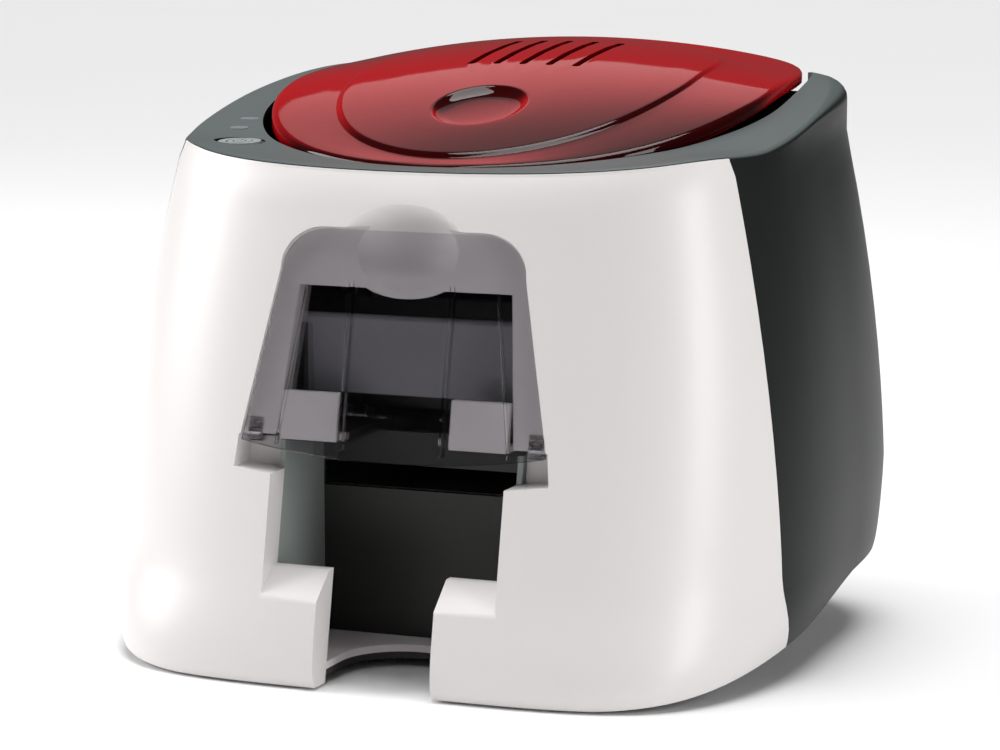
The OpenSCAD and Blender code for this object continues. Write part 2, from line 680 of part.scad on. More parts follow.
module power_button() {
  z0 = rim_z(button_c);
  color([0.6, 0.61, 0.63])
  translate([button_c[0], button_c[1], z0]) rotate([button_tilt, 0, 0])
  union() {
    difference() {
      translate([0, 0, -5.6]) linear_extrude(height = 5.3) stadium(16, 12.6);
      translate([0, 0, -0.9]) rotate_extrude() translate([3.6, 0]) square([0.9, 4]);
    }
    translate([0, 0, -6]) linear_extrude(height = 1.6) stadium(19.6, 16);
    translate([0, 0, 171 - z0]) cylinder(r = 2, h = z0 - 175.8);
  }
}

module button_board() {
  color([0.1, 0.35, 0.2])
  translate([button_c[0], button_c[1], 166.4]) union() {
    translate([-17, -6, 0]) cube([34, 12, 1.6]);
    translate([-3, -3, 1.6]) cube([6, 6, 1]);
    translate([0, 0, 2.6]) cylinder(r = 1.6, h = 0.3);
  }
}

module indicator_windows() {
  color([0.5, 0.52, 0.52, 0.8])
  for (p = led_c) led_form(p, 7.3, 4.1, wall + 0.6);
}

// Bin and hopper

module bin_frame() {
  color([0.42, 0.44, 0.43])
  difference() {
    for (s = [-1, 1])
      translate([s > 0 ? notch_half : -notch_half - 2, -front_d + 13, 8])
        cube([2, front_d - 13 + bin_back_y, card_z - 12.3]);
    lean_slab(-30, rim_depth, 0, 100, -64, 64);
  }
}

module bin_back() {
  color([0.07, 0.07, 0.06])
  difference() {
    translate([-notch_half - 2, bin_back_y, 8]) cube([2 * notch_half + 4, 2, card_z - 12.3]);
    translate([-notch_half, bin_back_y - 1, 61]) cube([2 * notch_half, 4, 9]);
  }
}

module output_tray() {
  color([0.93, 0.91, 0.91])
  difference() {
    translate([-notch_half - 2, -front_d + 8.66, 5.5]) cube([2 * notch_half + 4, front_d - 6.66 + bin_back_y, 2.5]);
    lean_slab(-30, rim_depth, 0, 30, -64, 64);
    translate([0, gap_y, 0]) cylinder(r = leg_half, h = 30, center = true);
    translate([-leg_half, gap_y - 44, 0]) cube([2 * leg_half, 44, 30]);
  }
}

module hopper_guides() {
  color([0.07, 0.07, 0.07])
  difference() {
    union() {
      for (s = [-1, 1]) {
        // Floor rail, side wall and the flange on the side plate
        translate([s > 0 ? 21 : -notch_half - 2, -front_d + 20, card_z - 4.3])
          cube([notch_half - 19, front_d - 20 + bin_back_y + 1.6, 4]);
        translate([s > 0 ? notch_half : -notch_half - 2, -front_d + 20, card_z - 4.3])
          cube([2, front_d - 20 + gate_y + 2, 54]);
        translate([s > 0 ? notch_half : -plate_x, gate_y - 12, card_z + 3])
          cube([plate_x - notch_half, 10, 20]);
      }
    }
    lean_slab(-40, rim_depth, 60, 160, -64, 64);
    x_bar(flap_p, 2 + run_fit, -50, 50);
  }
}

// White sills that stop the cards at the mouth, with a lip onto the floor rails
module feeder_sills() {
  color([0.93, 0.92, 0.92])
  for (s = [-1, 1]) union() {
    lean_slab(4.5, 7.3, card_z - 1.7, card_z + 14.1, s > 0 ? 21 : 2.2 - feeder_half, s > 0 ? feeder_half - 2.2 : -21);
    lean_slab(5, rim_depth, card_z - 2.5, card_z - 0.3, s > 0 ? 21 : 2.2 - feeder_half, s > 0 ? feeder_half - 2.2 : -21);
  }
}

module card_gate() {
  color([0.1, 0.1, 0.11])
  translate([-notch_half, gate_y, card_z + 1.1]) cube([2 * notch_half, 2, 40]);
}

module pressure_flap() {
  color([0.5, 0.5, 0.53])
  union() {
    translate([-39.5, flap_p[0] - 2, 98.5]) cube([79, 2, 26]);
    x_bar(flap_p, 2, -notch_half - 1.8, notch_half + 1.8);
    for (s = [-1, 1]) translate([s * 30 - 1, flap_p[0] - 1, 102]) cube([2, 3, 20]);
  }
}

// Chassis

module plate_holes(x0, x1) {
  for (p = [pick_p, feed_p, platen_p]) x_bar(p, shaft_r + run_fit, x0, x1);
  x_bar(pinch_p, 2 + run_fit, x0, x1);
  x_bar(arm_p, 2, x0, x1);
}

module side_plate(x0, x1) {
  difference() {
    yz_prism([[-48, 16], [socket_y, 16], [socket_y, 96], [socket_y - 6, 118], [-8, 118], [-24, 108], [-48, 108]], x0, x1);
    plate_holes(x0 - 1, x1 + 1);
    for (p = [[74, 60], [-20, 44], [12, 40]]) x_bar(p, 12, x0 - 1, x1 + 1);
  }
}

module chassis_left() {
  color([0.62, 0.63, 0.65])
  difference() {
    union() {
      side_plate(-plate_x - plate_t, -plate_x);
      yz_prism([[-22, 106], [8, 106], [8, 142], [-24, 142]], -plate_x - plate_t, -plate_x);
    }
    x_bar(take_p, 4 + run_fit, -plate_x - 5, -plate_x + 5);
    x_bar(motor_p, 8, -plate_x - 5, -plate_x + 5);
    for (p = [low_p, mid_p, high_p]) x_bar(p, 2, -plate_x - 5, -plate_x + 5);
  }
}

module chassis_right() {
  color([0.62, 0.63, 0.65])
  side_plate(plate_x, plate_x + plate_t);
}

module chassis_floor() {
  color([0.58, 0.59, 0.61])
  difference() {
    union() {
      translate([-plate_x - plate_t, -48, 14]) cube([2 * (plate_x + plate_t), socket_y + 48, 2]);
      for (x = [9, 41]) translate([x, socket_y - 6, 14]) cylinder(r = 3, h = socket_z - 14);
    }
    for (x = [-24, 24]) translate([x, 30, 10]) cylinder(r = 12, h = 10);
  }
}

module exit_chute() {
  color([0.2, 0.2, 0.21])
  yz_prism([[-4, 67.5], [bin_back_y + 2, 61.5], [bin_back_y + 2, 60], [-4, 66]], -plate_x, plate_x);
}

// Rollers

module pick_shaft() {
  color([0.75, 0.76, 0.78])
  x_bar(pick_p, shaft_r, gear_x, plate_x + plate_t + 1);
}

module pick_tyres() {
  color([0.12, 0.12, 0.12])
  for (x = [-26, 12]) roller_tyre(pick_p, pick_r, x, x + 14);
}

module roller_tyre(p, r, x0, x1) {
  difference() {
    x_bar(p, r, x0, x1);
    x_bar(p, shaft_r, x0 - 1, x1 + 1);
  }
}

module feed_shaft() {
  color([0.75, 0.76, 0.78])
  x_bar(feed_p, shaft_r, gear_x, plate_x + plate_t + 1);
}

module feed_tyre() {
  color([0.12, 0.12, 0.12])
  roller_tyre(feed_p, feed_r, -42, 42);
}

module pinch_shaft() {
  color([0.75, 0.76, 0.78])
  x_bar(pinch_p, 2, -plate_x - plate_t - 0.8, plate_x + plate_t + 0.8);
}

module pinch_roller() {
  color([0.5, 0.52, 0.55])
  difference() {
    for (x = [-36, -7, 22]) x_bar(pinch_p, pinch_r, x, x + 14);
    x_bar(pinch_p, 2, -60, 60);
  }
}

module platen_shaft() {
  color([0.75, 0.76, 0.78])
  x_bar(platen_p, shaft_r, gear_x, plate_x + plate_t + 1);
}

module platen_tyre() {
  color([0.12, 0.12, 0.12])
  roller_tyre(platen_p, platen_r, -43, 43);
}

// Print head on its arm

module head_arm() {
  color([0.3, 0.31, 0.33])
  difference() {
    union() {
      for (s = [-1, 1])
        yz_prism([[14, 97], [26, 97], [84, 99], [89, 104], [84, 109], [60, 108], [26, 112], [14, 112]],
          s > 0 ? 46 : -48.4, s > 0 ? 48.4 : -46);
      translate([-46, 14, 106]) cube([92, 12, 3]);
      x_bar([70, 103.5], 2.5, -46, 46);
    }
    x_bar(arm_p, 2 + run_fit, -60, 60);
  }
}

module print_head() {
  color([0.72, 0.73, 0.75])
  difference() {
    union() {
      yz_prism([[15, 91], [18, card_z + 0.75], [22, card_z + 0.75], [24, 91], [25, 95], [25, 106], [15, 106]], -44, 44);
    }
    for (y = [16.6, 19.4, 22.2]) translate([-50, y, 97]) cube([100, 1.2, 6]);
  }
}

module head_pivot() {
  color([0.75, 0.76, 0.78])
  x_bar(arm_p, 2, -plate_x - plate_t - 1, plate_x + plate_t + 1);
}

// Ribbon

module cheek(x0, x1) {
  difference() {
    union() {
      x_bar(take_p, 14, x0, x1);
      x_bar(supply_p, 17, x0, x1);
      yz_prism([[take_p[0], take_p[1] + 4], [supply_p[0], supply_p[1] + 4],
        [supply_p[0], supply_p[1] + 17], [take_p[0], take_p[1] + 14]], x0, x1);
    }
    x_bar(take_p, 4 + run_fit, x0 - 1, x1 + 1);
    x_bar(supply_p, 4 + run_fit, x0 - 1, x1 + 1);
  }
}

module ribbon_cassette() {
  color([0.14, 0.14, 0.15])
  union() {
    cheek(43.8, 45.4);
    cheek(-45.4, -43.8);
    // Bridge with a grip, over both spools
    yz_prism([[0, take_p[1] + 14.4], [34, take_p[1] + 15.8], [34, take_p[1] + 17.6], [0, take_p[1] + 16.2]], -45.4, 45.4);
    yz_prism([[-0.5, take_p[1] + 8], [1.3, take_p[1] + 8], [1.3, take_p[1] + 16], [-0.5, take_p[1] + 16]], -45.4, 45.4);
    yz_prism([[32.7, take_p[1] + 8], [34.5, take_p[1] + 8], [34.5, take_p[1] + 17], [32.7, take_p[1] + 17]], -45.4, 45.4);
    difference() {
      yz_prism([[12, take_p[1] + 15], [22, take_p[1] + 15.4], [19, take_p[1] + 27], [15, take_p[1] + 27]], -20, 20);
      translate([0, 30, take_p[1] + 14]) rotate([90, 0, 0]) cylinder(r = 9, h = 30);
    }
    for (s = [-1, 1]) x_bar([40, take_p[1] + 11], 3, s > 0 ? 45.4 : -plate_x, s > 0 ? plate_x : -45.4);
  }
}

module spool(p, x0, x1) {
  x_bar(p, 4, x0, x1);
  x_bar(p, 5.6, -43.2, 43.2);
  x_bar(p, 11.5, -43.2, -42);
  x_bar(p, 11.5, 42, 43.2);
}

module supply_spool() {
  color([0.86, 0.86, 0.84])
  spool(supply_p, -45.2, 45.2);
}

module supply_ribbon() {
  color([0.35, 0.1, 0.3])
  difference() {
    x_bar(supply_p, 10.6, -41, 41);
    x_bar(supply_p, 5.6, -60, 60);
  }
}

module takeup_spool() {
  color([0.86, 0.86, 0.84])
  spool(take_p, gear_x, 45.2);
}

module takeup_ribbon() {
  color([0.1, 0.1, 0.2])
  difference() {
    x_bar(take_p, 7.6, -41, 41);
    x_bar(take_p, 5.6, -60, 60);
  }
}

module ribbon_web() {
  color([0.25, 0.1, 0.28])
  yz_prism([
    [supply_p[0] - 10.75, supply_p[1]], [22.9, card_z + 0.5], [17.1, card_z + 0.5],
    [take_p[0] - 2, take_p[1] - 8.2], [take_p[0] - 2, take_p[1] - 7.95],
    [17.4, card_z + 0.7], [22.6, card_z + 0.7], [supply_p[0] - 11.2, supply_p[1]]], -41, 41);
}

// Gear train: tooth flanks are true involutes, and each gear is turned so it meshes at rest

function polar(p, r, a) = [p[0] + r * cos(a), p[1] + r * sin(a)];
function mesh_point(p, q, np, nq) =
  let (
    d = norm(q - p),
    rp = np * gear_m / 2,
    rq = nq * gear_m / 2,
    a = (rp * rp - rq * rq + d * d) / (2 * d),
    h = sqrt(rp * rp - a * a),
    e = (q - p) / d)
  [p[0] + a * e[0] + h * e[1], p[1] + a * e[1] - h * e[0]] [1] < p[1]
  ? [p[0] + a * e[0] + h * e[1], p[1] + a * e[1] - h * e[0]]
  : [p[0] + a * e[0] - h * e[1], p[1] + a * e[1] + h * e[0]];
function bearing(p, q) = atan2(q[1] - p[1], q[0] - p[0]);
function meshed(ph, ni, nj, al) = al + 180 - (ph - al) * ni / nj - 180 / nj;
function inv(a) = tan(a) * 180 / PI - a;
function flank(n, r) =
  let (rb = n * gear_m / 2 * cos(pa), rr = max(r, rb), a = acos(min(1, rb / rr)))
  90 / n - 0.09 * 180 / PI / (n * gear_m / 2) + inv(pa) - inv(a);

ph_platen = 0;
ph_low = meshed(ph_platen, n_platen, n_low, bearing(platen_p, low_p));
ph_feed = meshed(ph_low, n_low, n_feed, bearing(low_p, feed_p));
ph_mid = meshed(ph_feed, n_feed, n_mid, bearing(feed_p, mid_p));
ph_pick = meshed(ph_mid, n_mid, n_pick, bearing(mid_p, pick_p));
ph_high = meshed(ph_platen, n_platen, n_high, bearing(platen_p, high_p));
ph_take = meshed(ph_high, n_high, n_take, bearing(high_p, take_p));
ph_motor = meshed(ph_platen, n_platen, n_motor, bearing(platen_p, motor_p));

module gear_plan(n, ph) {
  r = n * gear_m / 2;
  rs = [r - 1.15 * gear_m, r - 0.6 * gear_m, r - 0.1 * gear_m, r + 0.45 * gear_m, r + 0.88 * gear_m];
  polygon([for (k = [0:n - 1], i = [0:9])
    let (q = i < 5 ? rs[i] : rs[9 - i], a = ph + k * 360 / n + (i < 5 ? -1 : 1) * flank(n, q))
    [q * cos(a), q * sin(a)]]);
}

module spur(p, n, ph, bore, hub) {
  translate([gear_x, p[0], p[1]]) rotate([90, 0, 90]) difference() {
    union() {
      linear_extrude(height = gear_w) gear_plan(n, ph);
      translate([0, 0, -1.5]) cylinder(r = hub, h = 1.6);
    }
    translate([0, 0, -5]) cylinder(r = bore, h = 20);
    if (n > 30) for (k = [0:5]) rotate([0, 0, 60 * k]) translate([n * gear_m * 0.3, 0, -5])
      cylinder(r = n * gear_m * 0.09, h = 20);
  }
}

module platen_gear() {
  color([0.93, 0.92, 0.86])
  spur(platen_p, n_platen, ph_platen, shaft_r, 7);
}

module low_idler() {
  color([0.93, 0.92, 0.86])
  spur(low_p, n_low, ph_low, 2 + run_fit, 5);
}

module feed_gear() {
  color([0.93, 0.92, 0.86])
  spur(feed_p, n_feed, ph_feed, shaft_r, 5);
}

module mid_idler() {
  color([0.93, 0.92, 0.86])
  spur(mid_p, n_mid, ph_mid, 2 + run_fit, 4);
}

module pick_gear() {
  color([0.93, 0.92, 0.86])
  spur(pick_p, n_pick, ph_pick, shaft_r, 5);
}

module high_idler() {
  color([0.93, 0.92, 0.86])
  spur(high_p, n_high, ph_high, 2 + run_fit, 7);
}

module takeup_gear() {
  color([0.93, 0.92, 0.86])
  spur(take_p, n_take, ph_take, 4, 6);
}

module motor_pinion() {
  color([0.72, 0.6, 0.3])
  union() {
    spur(motor_p, n_motor, ph_motor, 1.4, 3.5);
    x_bar(motor_p, 1.5, gear_x, -plate_x + 18);
  }
}

module drive_motor() {
  color([0.5, 0.51, 0.53])
  difference() {
    union() {
      x_bar(motor_p, 13.6, -plate_x, -plate_x + 22);
      x_bar(motor_p, 8, -plate_x - plate_t, -plate_x + 0.5);
    }
    x_bar(motor_p, 1.5 + run_fit, -plate_x - 10, -plate_x + 19);
  }
}

module idler_pins() {
  color([0.75, 0.76, 0.78])
  for (p = [low_p, mid_p, high_p]) union() {
    x_bar(p, 2, gear_x - 2.4, -plate_x);
    x_bar(p, 3.2, gear_x - 3.2, gear_x - 2);
  }
}

// Electronics

module main_board() {
  color([0.1, 0.38, 0.2])
  difference() {
    translate([70, -12, 20]) cube([1.6, 94, 80]);
    for (y = [-6, 76], z = [26, 94]) translate([69, y, z]) rotate([0, 90, 0]) cylinder(r = 1.6, h = 4);
  }
}

module board_parts() {
  color([0.1, 0.1, 0.11])
  union() {
    translate([71.6, 20, 50]) cube([1.6, 16, 16]);
    translate([71.6, 48, 60]) cube([1.4, 9, 12]);
    translate([71.6, 4, 34]) cube([5, 14, 6]);
    translate([71.6, 30, 88]) cube([6, 24, 6]);
    for (y = [56, 66]) translate([71.6, y, 38]) rotate([0, 90, 0]) cylinder(r = 4, h = 11);
    translate([71.6, 2, 76]) cube([3, 12, 12]);
  }
}

module board_standoffs() {
  color([0.75, 0.66, 0.35])
  for (y = [-6, 76], z = [26, 94]) union() {
    x_bar([y, z], 3, plate_x + plate_t, 70);
    x_bar([y, z], 1.6, 69, 72.4);
    x_bar([y, z], 2.6, 71.6, 73);
  }
}

module socket_board() {
  color([0.1, 0.38, 0.2])
  translate([4, socket_y - 12, socket_z]) cube([42, 24, 1.6]);
}

module power_inlet() {
  color([0.08, 0.08, 0.08])
  difference() {
    union() {
      translate([30, socket_y, socket_z + 1.6]) cube([12, 13.4, 14.4]);
      translate([36, rear_d - 0.5, socket_z + 11]) rotate([90, 0, 0]) cylinder(r = 5, h = 4.4);
    }
    translate([36, rear_d + 2, socket_z + 11]) rotate([90, 0, 0]) difference() {
      cylinder(r = 3.2, h = 12);
      cylinder(r = 1, h = 14);
    }
  }
}

module usb_socket() {
  color([0.78, 0.79, 0.8])
  difference() {
    union() {
      translate([10, socket_y, socket_z + 4.7]) cube([12, 16.8, 11]);
      translate([10, socket_y, socket_z + 1.6]) cube([12, 10, 5]);
    }
    difference() {
      translate([11, socket_y + 4, socket_z + 5.7]) cube([10, 30, 9]);
      translate([13, socket_y - 4, socket_z + 8.7]) cube([6, 19.4, 3]);
    }
  }
}

front_shell();
rear_shell();
base_tray();
feet();
case_screws();
top_lid();
lid_hinge_pins();
feeder_cover();
cover_pins();
power_button();
button_board();
indicator_windows();
bin_frame();
bin_back();
output_tray();
hopper_guides();
feeder_sills();
card_gate();
pressure_flap();
chassis_left();
chassis_right();
chassis_floor();
exit_chute();
pick_shaft();
pick_tyres();
feed_shaft();
feed_tyre();
pinch_roller();
pinch_shaft();
platen_shaft();
platen_tyre();
head_arm();
print_head();
head_pivot();
ribbon_cassette();
supply_spool();
supply_ribbon();
takeup_spool();
takeup_ribbon();
ribbon_web();
platen_gear();
low_idler();
feed_gear();
mid_idler();
pick_gear();
high_idler();
takeup_gear();
motor_pinion();
drive_motor();
idler_pins();
main_board();
board_parts();
board_standoffs();
socket_board();
power_inlet();
usb_socket();
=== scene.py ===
"""Looks for the desktop card printer: housing, lid, feeder cover, finishes, lights and camera."""

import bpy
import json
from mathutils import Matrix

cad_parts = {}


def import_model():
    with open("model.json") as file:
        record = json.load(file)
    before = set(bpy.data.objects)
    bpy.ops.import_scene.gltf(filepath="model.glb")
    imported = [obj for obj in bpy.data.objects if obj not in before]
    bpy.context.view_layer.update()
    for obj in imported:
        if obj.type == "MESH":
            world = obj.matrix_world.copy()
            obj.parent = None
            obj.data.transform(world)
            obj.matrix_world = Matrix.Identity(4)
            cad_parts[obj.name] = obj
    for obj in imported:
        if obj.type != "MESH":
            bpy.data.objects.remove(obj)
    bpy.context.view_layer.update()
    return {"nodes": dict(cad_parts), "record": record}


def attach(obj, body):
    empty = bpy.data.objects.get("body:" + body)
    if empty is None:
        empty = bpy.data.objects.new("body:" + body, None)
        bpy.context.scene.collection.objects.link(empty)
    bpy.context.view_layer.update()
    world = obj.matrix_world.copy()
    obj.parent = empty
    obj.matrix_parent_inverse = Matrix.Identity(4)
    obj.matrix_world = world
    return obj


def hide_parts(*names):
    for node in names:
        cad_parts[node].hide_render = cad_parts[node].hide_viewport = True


bl_info = {
    "name": "Card Printer Looks",
    "version": (1, 1, 0),
    "blender": (4, 5, 0),
    "location": "View3D > Sidebar > Printer",
    "description": "Dresses the packed frame of a desktop card printer and sets its studio",
    "category": "Object",
}

import json
import math

import bmesh
import bpy
from bpy.props import FloatProperty, FloatVectorProperty, PointerProperty
from bpy.types import Operator, Panel, PropertyGroup
from mathutils import Matrix, Vector

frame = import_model()
NODES = frame["nodes"]
SLOTS = {row["node"]: row["material_slot"] for row in frame["record"]["subparts"]}

# The forms below are worked out in millimetres, and each point is put down in metres
MM = 0.001

# Level at which the plan of the deck's edge is taken
DECK_LEVEL = 190
# Smallest gap that counts as one point, in metres
WELD = 1e-6
# Widest sliver that is closed up after carving
SLIVER = 0.02


def unit(t):
    return min(1.0, max(0.0, t))


def smooth(t):
    return t * t * (3 - 2 * t)


def low_part(z, top):
    return max(0.0, (top - z) / top)


def power_radius(across, along, exponent, cosine, sine):
    """Distance from the middle to a squared-off oval, in the direction of an angle"""
    return ((abs(cosine) / across) ** exponent + (abs(sine) / along) ** exponent) ** (-1 / exponent)


class Form:
    """The printer's curved forms, from the sizes in the panel"""

    def __init__(self, sizes):
        self.half_w = sizes.body_width / 2 / MM
        self.rear_d = sizes.rear_depth / MM
        self.front_d = sizes.front_depth / MM
        self.lean = sizes.front_lean
        self.deck_front = sizes.deck_height / MM
        self.deck_rise = sizes.deck_rise / MM
        self.wall = sizes.wall / MM
        self.gap = sizes.seam_gap / MM
        self.seam_y = sizes.seam_place / MM
        self.lid_a = sizes.lid_half_width / MM
        self.lid_top = sizes.lid_height / MM
        self.middle = 30.0
        self.belly_z = 38
        self.edge_y = 36.66 - self.front_d
        self.climb = self.rear_d - 1.4 - self.edge_y
        self.lid_front = 96.0
        self.lid_c = 37.0
        self.hinge = (self.rear_d - 5.4, 197.0)
        self.lid_rear = self.hinge[0] + 1 - self.lid_c
        self.lid_skin = 2.2
        self.dish_y = -11
        self.rear_round = sizes.rear_rounding / MM
        # Hinge of the lid: where its knuckles start, how long they are, and their radius
        self.ear = 52.0
        self.knuckle = 10
        self.knuckle_r = 3.7
        # Holes for the hinge pins: tight in the shells, loose in the lid and the cover
        self.pin_tight = 1.5
        self.pin_loose = 1.55
        self.rim_depth = 13.0
        self.rim_half = 64
        self.ledge_depth = 15.4
        self.notch_half = 43.4
        self.leg_half = 21.8
        self.shelf_lo = 31.7
        self.shelf_hi = 73.7
        self.cover_z0 = 83.0
        self.cover_z1 = 156.4
        self.cover_foot = 56.4
        self.cover_taper = 0.195
        self.cover_t = 2.2
        self.pivot_z = 85.2
        self.pivot_y = -self.front_d + self.lean * self.pivot_z + 7.7
        self.shoulder_z = 142
        self.shoulder_r = 14.4
        self.button = (49.3 - self.half_w, self.edge_y + 41)
        places = (38.7, 62.7), (36.8, 75.5)
        self.windows = [(x - self.half_w, self.edge_y + y) for x, y in places]
        self.button_tilt = 4.5
        self.window_tilt = 9.5
        self.socket_z = 32
        # Finer steps round the four corners of the plan
        corners = (18, 60), (120, 162), (200, 245), (295, 340)
        self.angles = [a for a in range(360) if a % 2 == 0 or any(p <= a <= q for p, q in corners)]

    # Housing
    def width_at(self, z):
        """Half width at a level: flared at the foot, widest at the belly, drawn in above it"""
        flare = 16 * low_part(z, self.belly_z) ** 2.2
        draw = min(17.5, 0.00085 * max(0, z - self.belly_z) ** 2)
        return self.half_w - flare - draw

    def front_at(self, z):
        return -self.front_d + self.lean * z + 5 * math.exp(-max(z, 0) / 5)

    def rear_at(self, z):
        return self.rear_d - 7 * low_part(z, 30) ** 2

    def front_power(self, z):
        """How square the front half of the plan is at a level"""
        return 3.1 + 1.7 * low_part(z, self.belly_z) ** 1.5

    def foot_z(self, y):
        climb = 0.16 * max(0.0, min(y, 30) + 106) + 4.4 * smooth(unit((y + 20) / 60))
        return 1 + climb + 0.05 * max(0.0, y - 30)

    def deck_z(self, y):
        t = unit((y - self.edge_y) / self.climb)
        return self.deck_front + self.deck_rise * (0.8 * smooth(t) + 0.2 * t)

    def rim_z(self, x, y, t=0.0):
        arch = 0.00035 * x * x * smooth(unit((-18 - y) / 38))
        return self.deck_z(y) + arch - 2.3 * t * smooth(unit(-y / 58))

    def seam_line(self, z):
        return self.seam_y + 0.00035 * max(0.0, z - 55) ** 2 + 0.08 * max(0.0, 35 - z) ** 1.5

    def ring(self, angle, z, inset):
        """Point of the housing's plan at a level, moved in by inset"""
        c, s = math.cos(math.radians(angle)), math.sin(math.radians(angle))
        if s < 0:
            exponent, along = self.front_power(z), self.middle - self.front_at(z)
        else:
            exponent, along = 6 - 3.2 * low_part(z, 60) ** 1.2, self.rear_at(z) - self.middle
        along -= inset
        r = power_radius(self.width_at(z) - inset, along, exponent, c, s)
        t = 0 if s < 0 else r * s / along
        tuck = 1 - 0.03 * low_part(z, 62) * smooth(unit((r * s + 70) / 70))
        return r * c * (1 - 0.09 * t * t) * tuck, self.middle + r * s

    def edge_round(self, y):
        """Radius of the deck's outer edge, which grows towards the rear corners"""
        return 2.2 + self.rear_round * smooth(unit((y - 15) / 75))

    def wall_ring(self, share, inset, drop):
        points = []
        for a in self.angles:
            z0 = self.foot_z(self.ring(a, 6, inset)[1]) - drop
            x, y = self.ring(a, DECK_LEVEL, inset)
            z1 = self.rim_z(x, y) - 0.91 * self.edge_round(y) - (self.wall if inset else 0)
            z = z0 + share * (z1 - z0)
            points.append((*self.ring(a, z, inset), z))
        return points

    def deck_ring(self, inset, dz):
        points = [self.ring(a, DECK_LEVEL, inset) for a in self.angles]
        return [(x, y, self.rim_z(x, y) + dz) for x, y in points]

    def turn_ring(self, inset, bend, dz):
        """Ring on the rounded edge of the deck, bend round from the wall"""
        points = []
        for a in self.angles:
            radius = self.edge_round(self.ring(a, DECK_LEVEL, inset)[1])
            x, y = self.ring(a, DECK_LEVEL, inset + radius * (1 - math.cos(bend)))
            points.append((x, y, self.rim_z(x, y) + dz - 0.91 * radius * (1 - math.sin(bend))))
        return points

    def inner_ring(self, inset, t, dz):
        """Ring on the deck, a share of the way from its edge to just inside the lid"""
        points = []
        for a in self.angles:
            radius = self.edge_round(self.ring(a, DECK_LEVEL, inset)[1])
            x0, y0 = self.ring(a, DECK_LEVEL, inset + radius)
            x1, y1 = self.lid_ring(a, 0)
            x1, y1 = x1 * 0.9, self.lid_c + (y1 - self.lid_c) * 0.9
            x, y = x0 + (x1 - x0) * t, y0 + (y1 - y0) * t
            points.append((x, y, self.rim_z(x, y, t) + dz))
        return points

    def housing(self, inset, drop):
        """Rings of the housing from foot to deck, moved in by inset, with its foot lowered by drop"""
        top = -self.wall if inset else 0
        shares = [0, 0.01, 0.025, 0.045, 0.07, 0.1, 0.13, 0.165, 0.2, 0.25, 0.3, 0.37, 0.45, 0.53, 0.62,
                  0.71, 0.8, 0.87, 0.93, 0.97]
        rings = [self.wall_ring(f, inset, drop) for f in shares]
        rings += [self.turn_ring(inset, math.radians(turn), top) for turn in (0, 15, 30, 45, 60, 75, 86)]
        for t in (0.12, 0.3, 0.5, 0.75, 1):
            rings.append(self.inner_ring(inset, t, top + 0.2 * min(1, 4 * t)))
        return [[(0, 0, -drop)]] + rings + [[(0, self.lid_c, self.deck_z(self.lid_c) + top)]]

    def under_deck(self, gap):
        """Rings of the space under the deck's outer edge, where the white front ends"""
        outside = [self.ring(a, DECK_LEVEL, -30) for a in self.angles]
        edge = [self.ring(a, DECK_LEVEL, 0) for a in self.angles]
        return [
            [(0, self.lid_c, -20)],
            [(*self.ring(a, 60, -30), -20) for a in self.angles],
            [(*p, self.rim_z(*q) - 0.8 - gap) for p, q in zip(outside, edge)],
            self.deck_ring(0.8, -0.8 - gap),
            self.deck_ring(2.5, -2.8 - gap),
            [(0, self.lid_c, 150)]]

    # Lid
    def lid_ring(self, angle, inset):
        c, s = math.cos(math.radians(angle)), math.sin(math.radians(angle))
        exponent, along = (2, self.lid_front) if s < 0 else (9, self.lid_rear)
        along -= inset
        r = power_radius(self.lid_a - inset, along, exponent, c, s)
        t = 0 if s < 0 else r * s / along
        return r * c * (1 - 0.075 * t * t), self.lid_c + r * s

    def lid_side(self, y):
        if y < self.lid_c:
            return self.lid_a * math.sqrt(max(0.0001, 1 - ((y - self.lid_c) / self.lid_front) ** 2))
        return self.lid_a * (1 - 0.075 * ((y - self.lid_c) / self.lid_rear) ** 2)

    def lid_edge(self, y):
        rise = 5.9 * smooth(unit((y - self.lid_c + self.lid_front) / 80))
        return self.deck_z(y) - 1.6 + rise - 4.2 * smooth(unit((y - 30) / 65))

    def lid_z(self, x, y):
        crown = self.lid_top - 37.5 * ((100 - y) / 159) ** 2
        k = min(1.0, abs(x) / self.lid_side(y))
        return crown - max(0.0, crown - self.lid_edge(y) - 1.2) * k * k

    def crease(self, angle, inset):
        c, s = math.cos(math.radians(angle)), math.sin(math.radians(angle))
        exponent, along = (2, 86) if s < 0 else (4, 64)
        r = power_radius(67 - inset, along - inset, exponent, c, s)
        return r * c, 35 + r * s

    def dish(self, angle, radius):
        turn = math.radians(angle)
        return radius * math.cos(turn), self.dish_y + radius * math.sin(turn)

    def skirt_z(self, x, y):
        return self.hinge[1] + 0.4 if y > self.hinge[0] - 6 else self.lid_z(x, y) - 4.6

    def on_lid(self, points, dz):
        return [(x, y, self.lid_z(x, y) + dz) for x, y in points]

    def between(self, outer, inner, t):
        return [(p[0] + (q[0] - p[0]) * t, p[1] + (q[1] - p[1]) * t) for p, q in zip(outer, inner)]

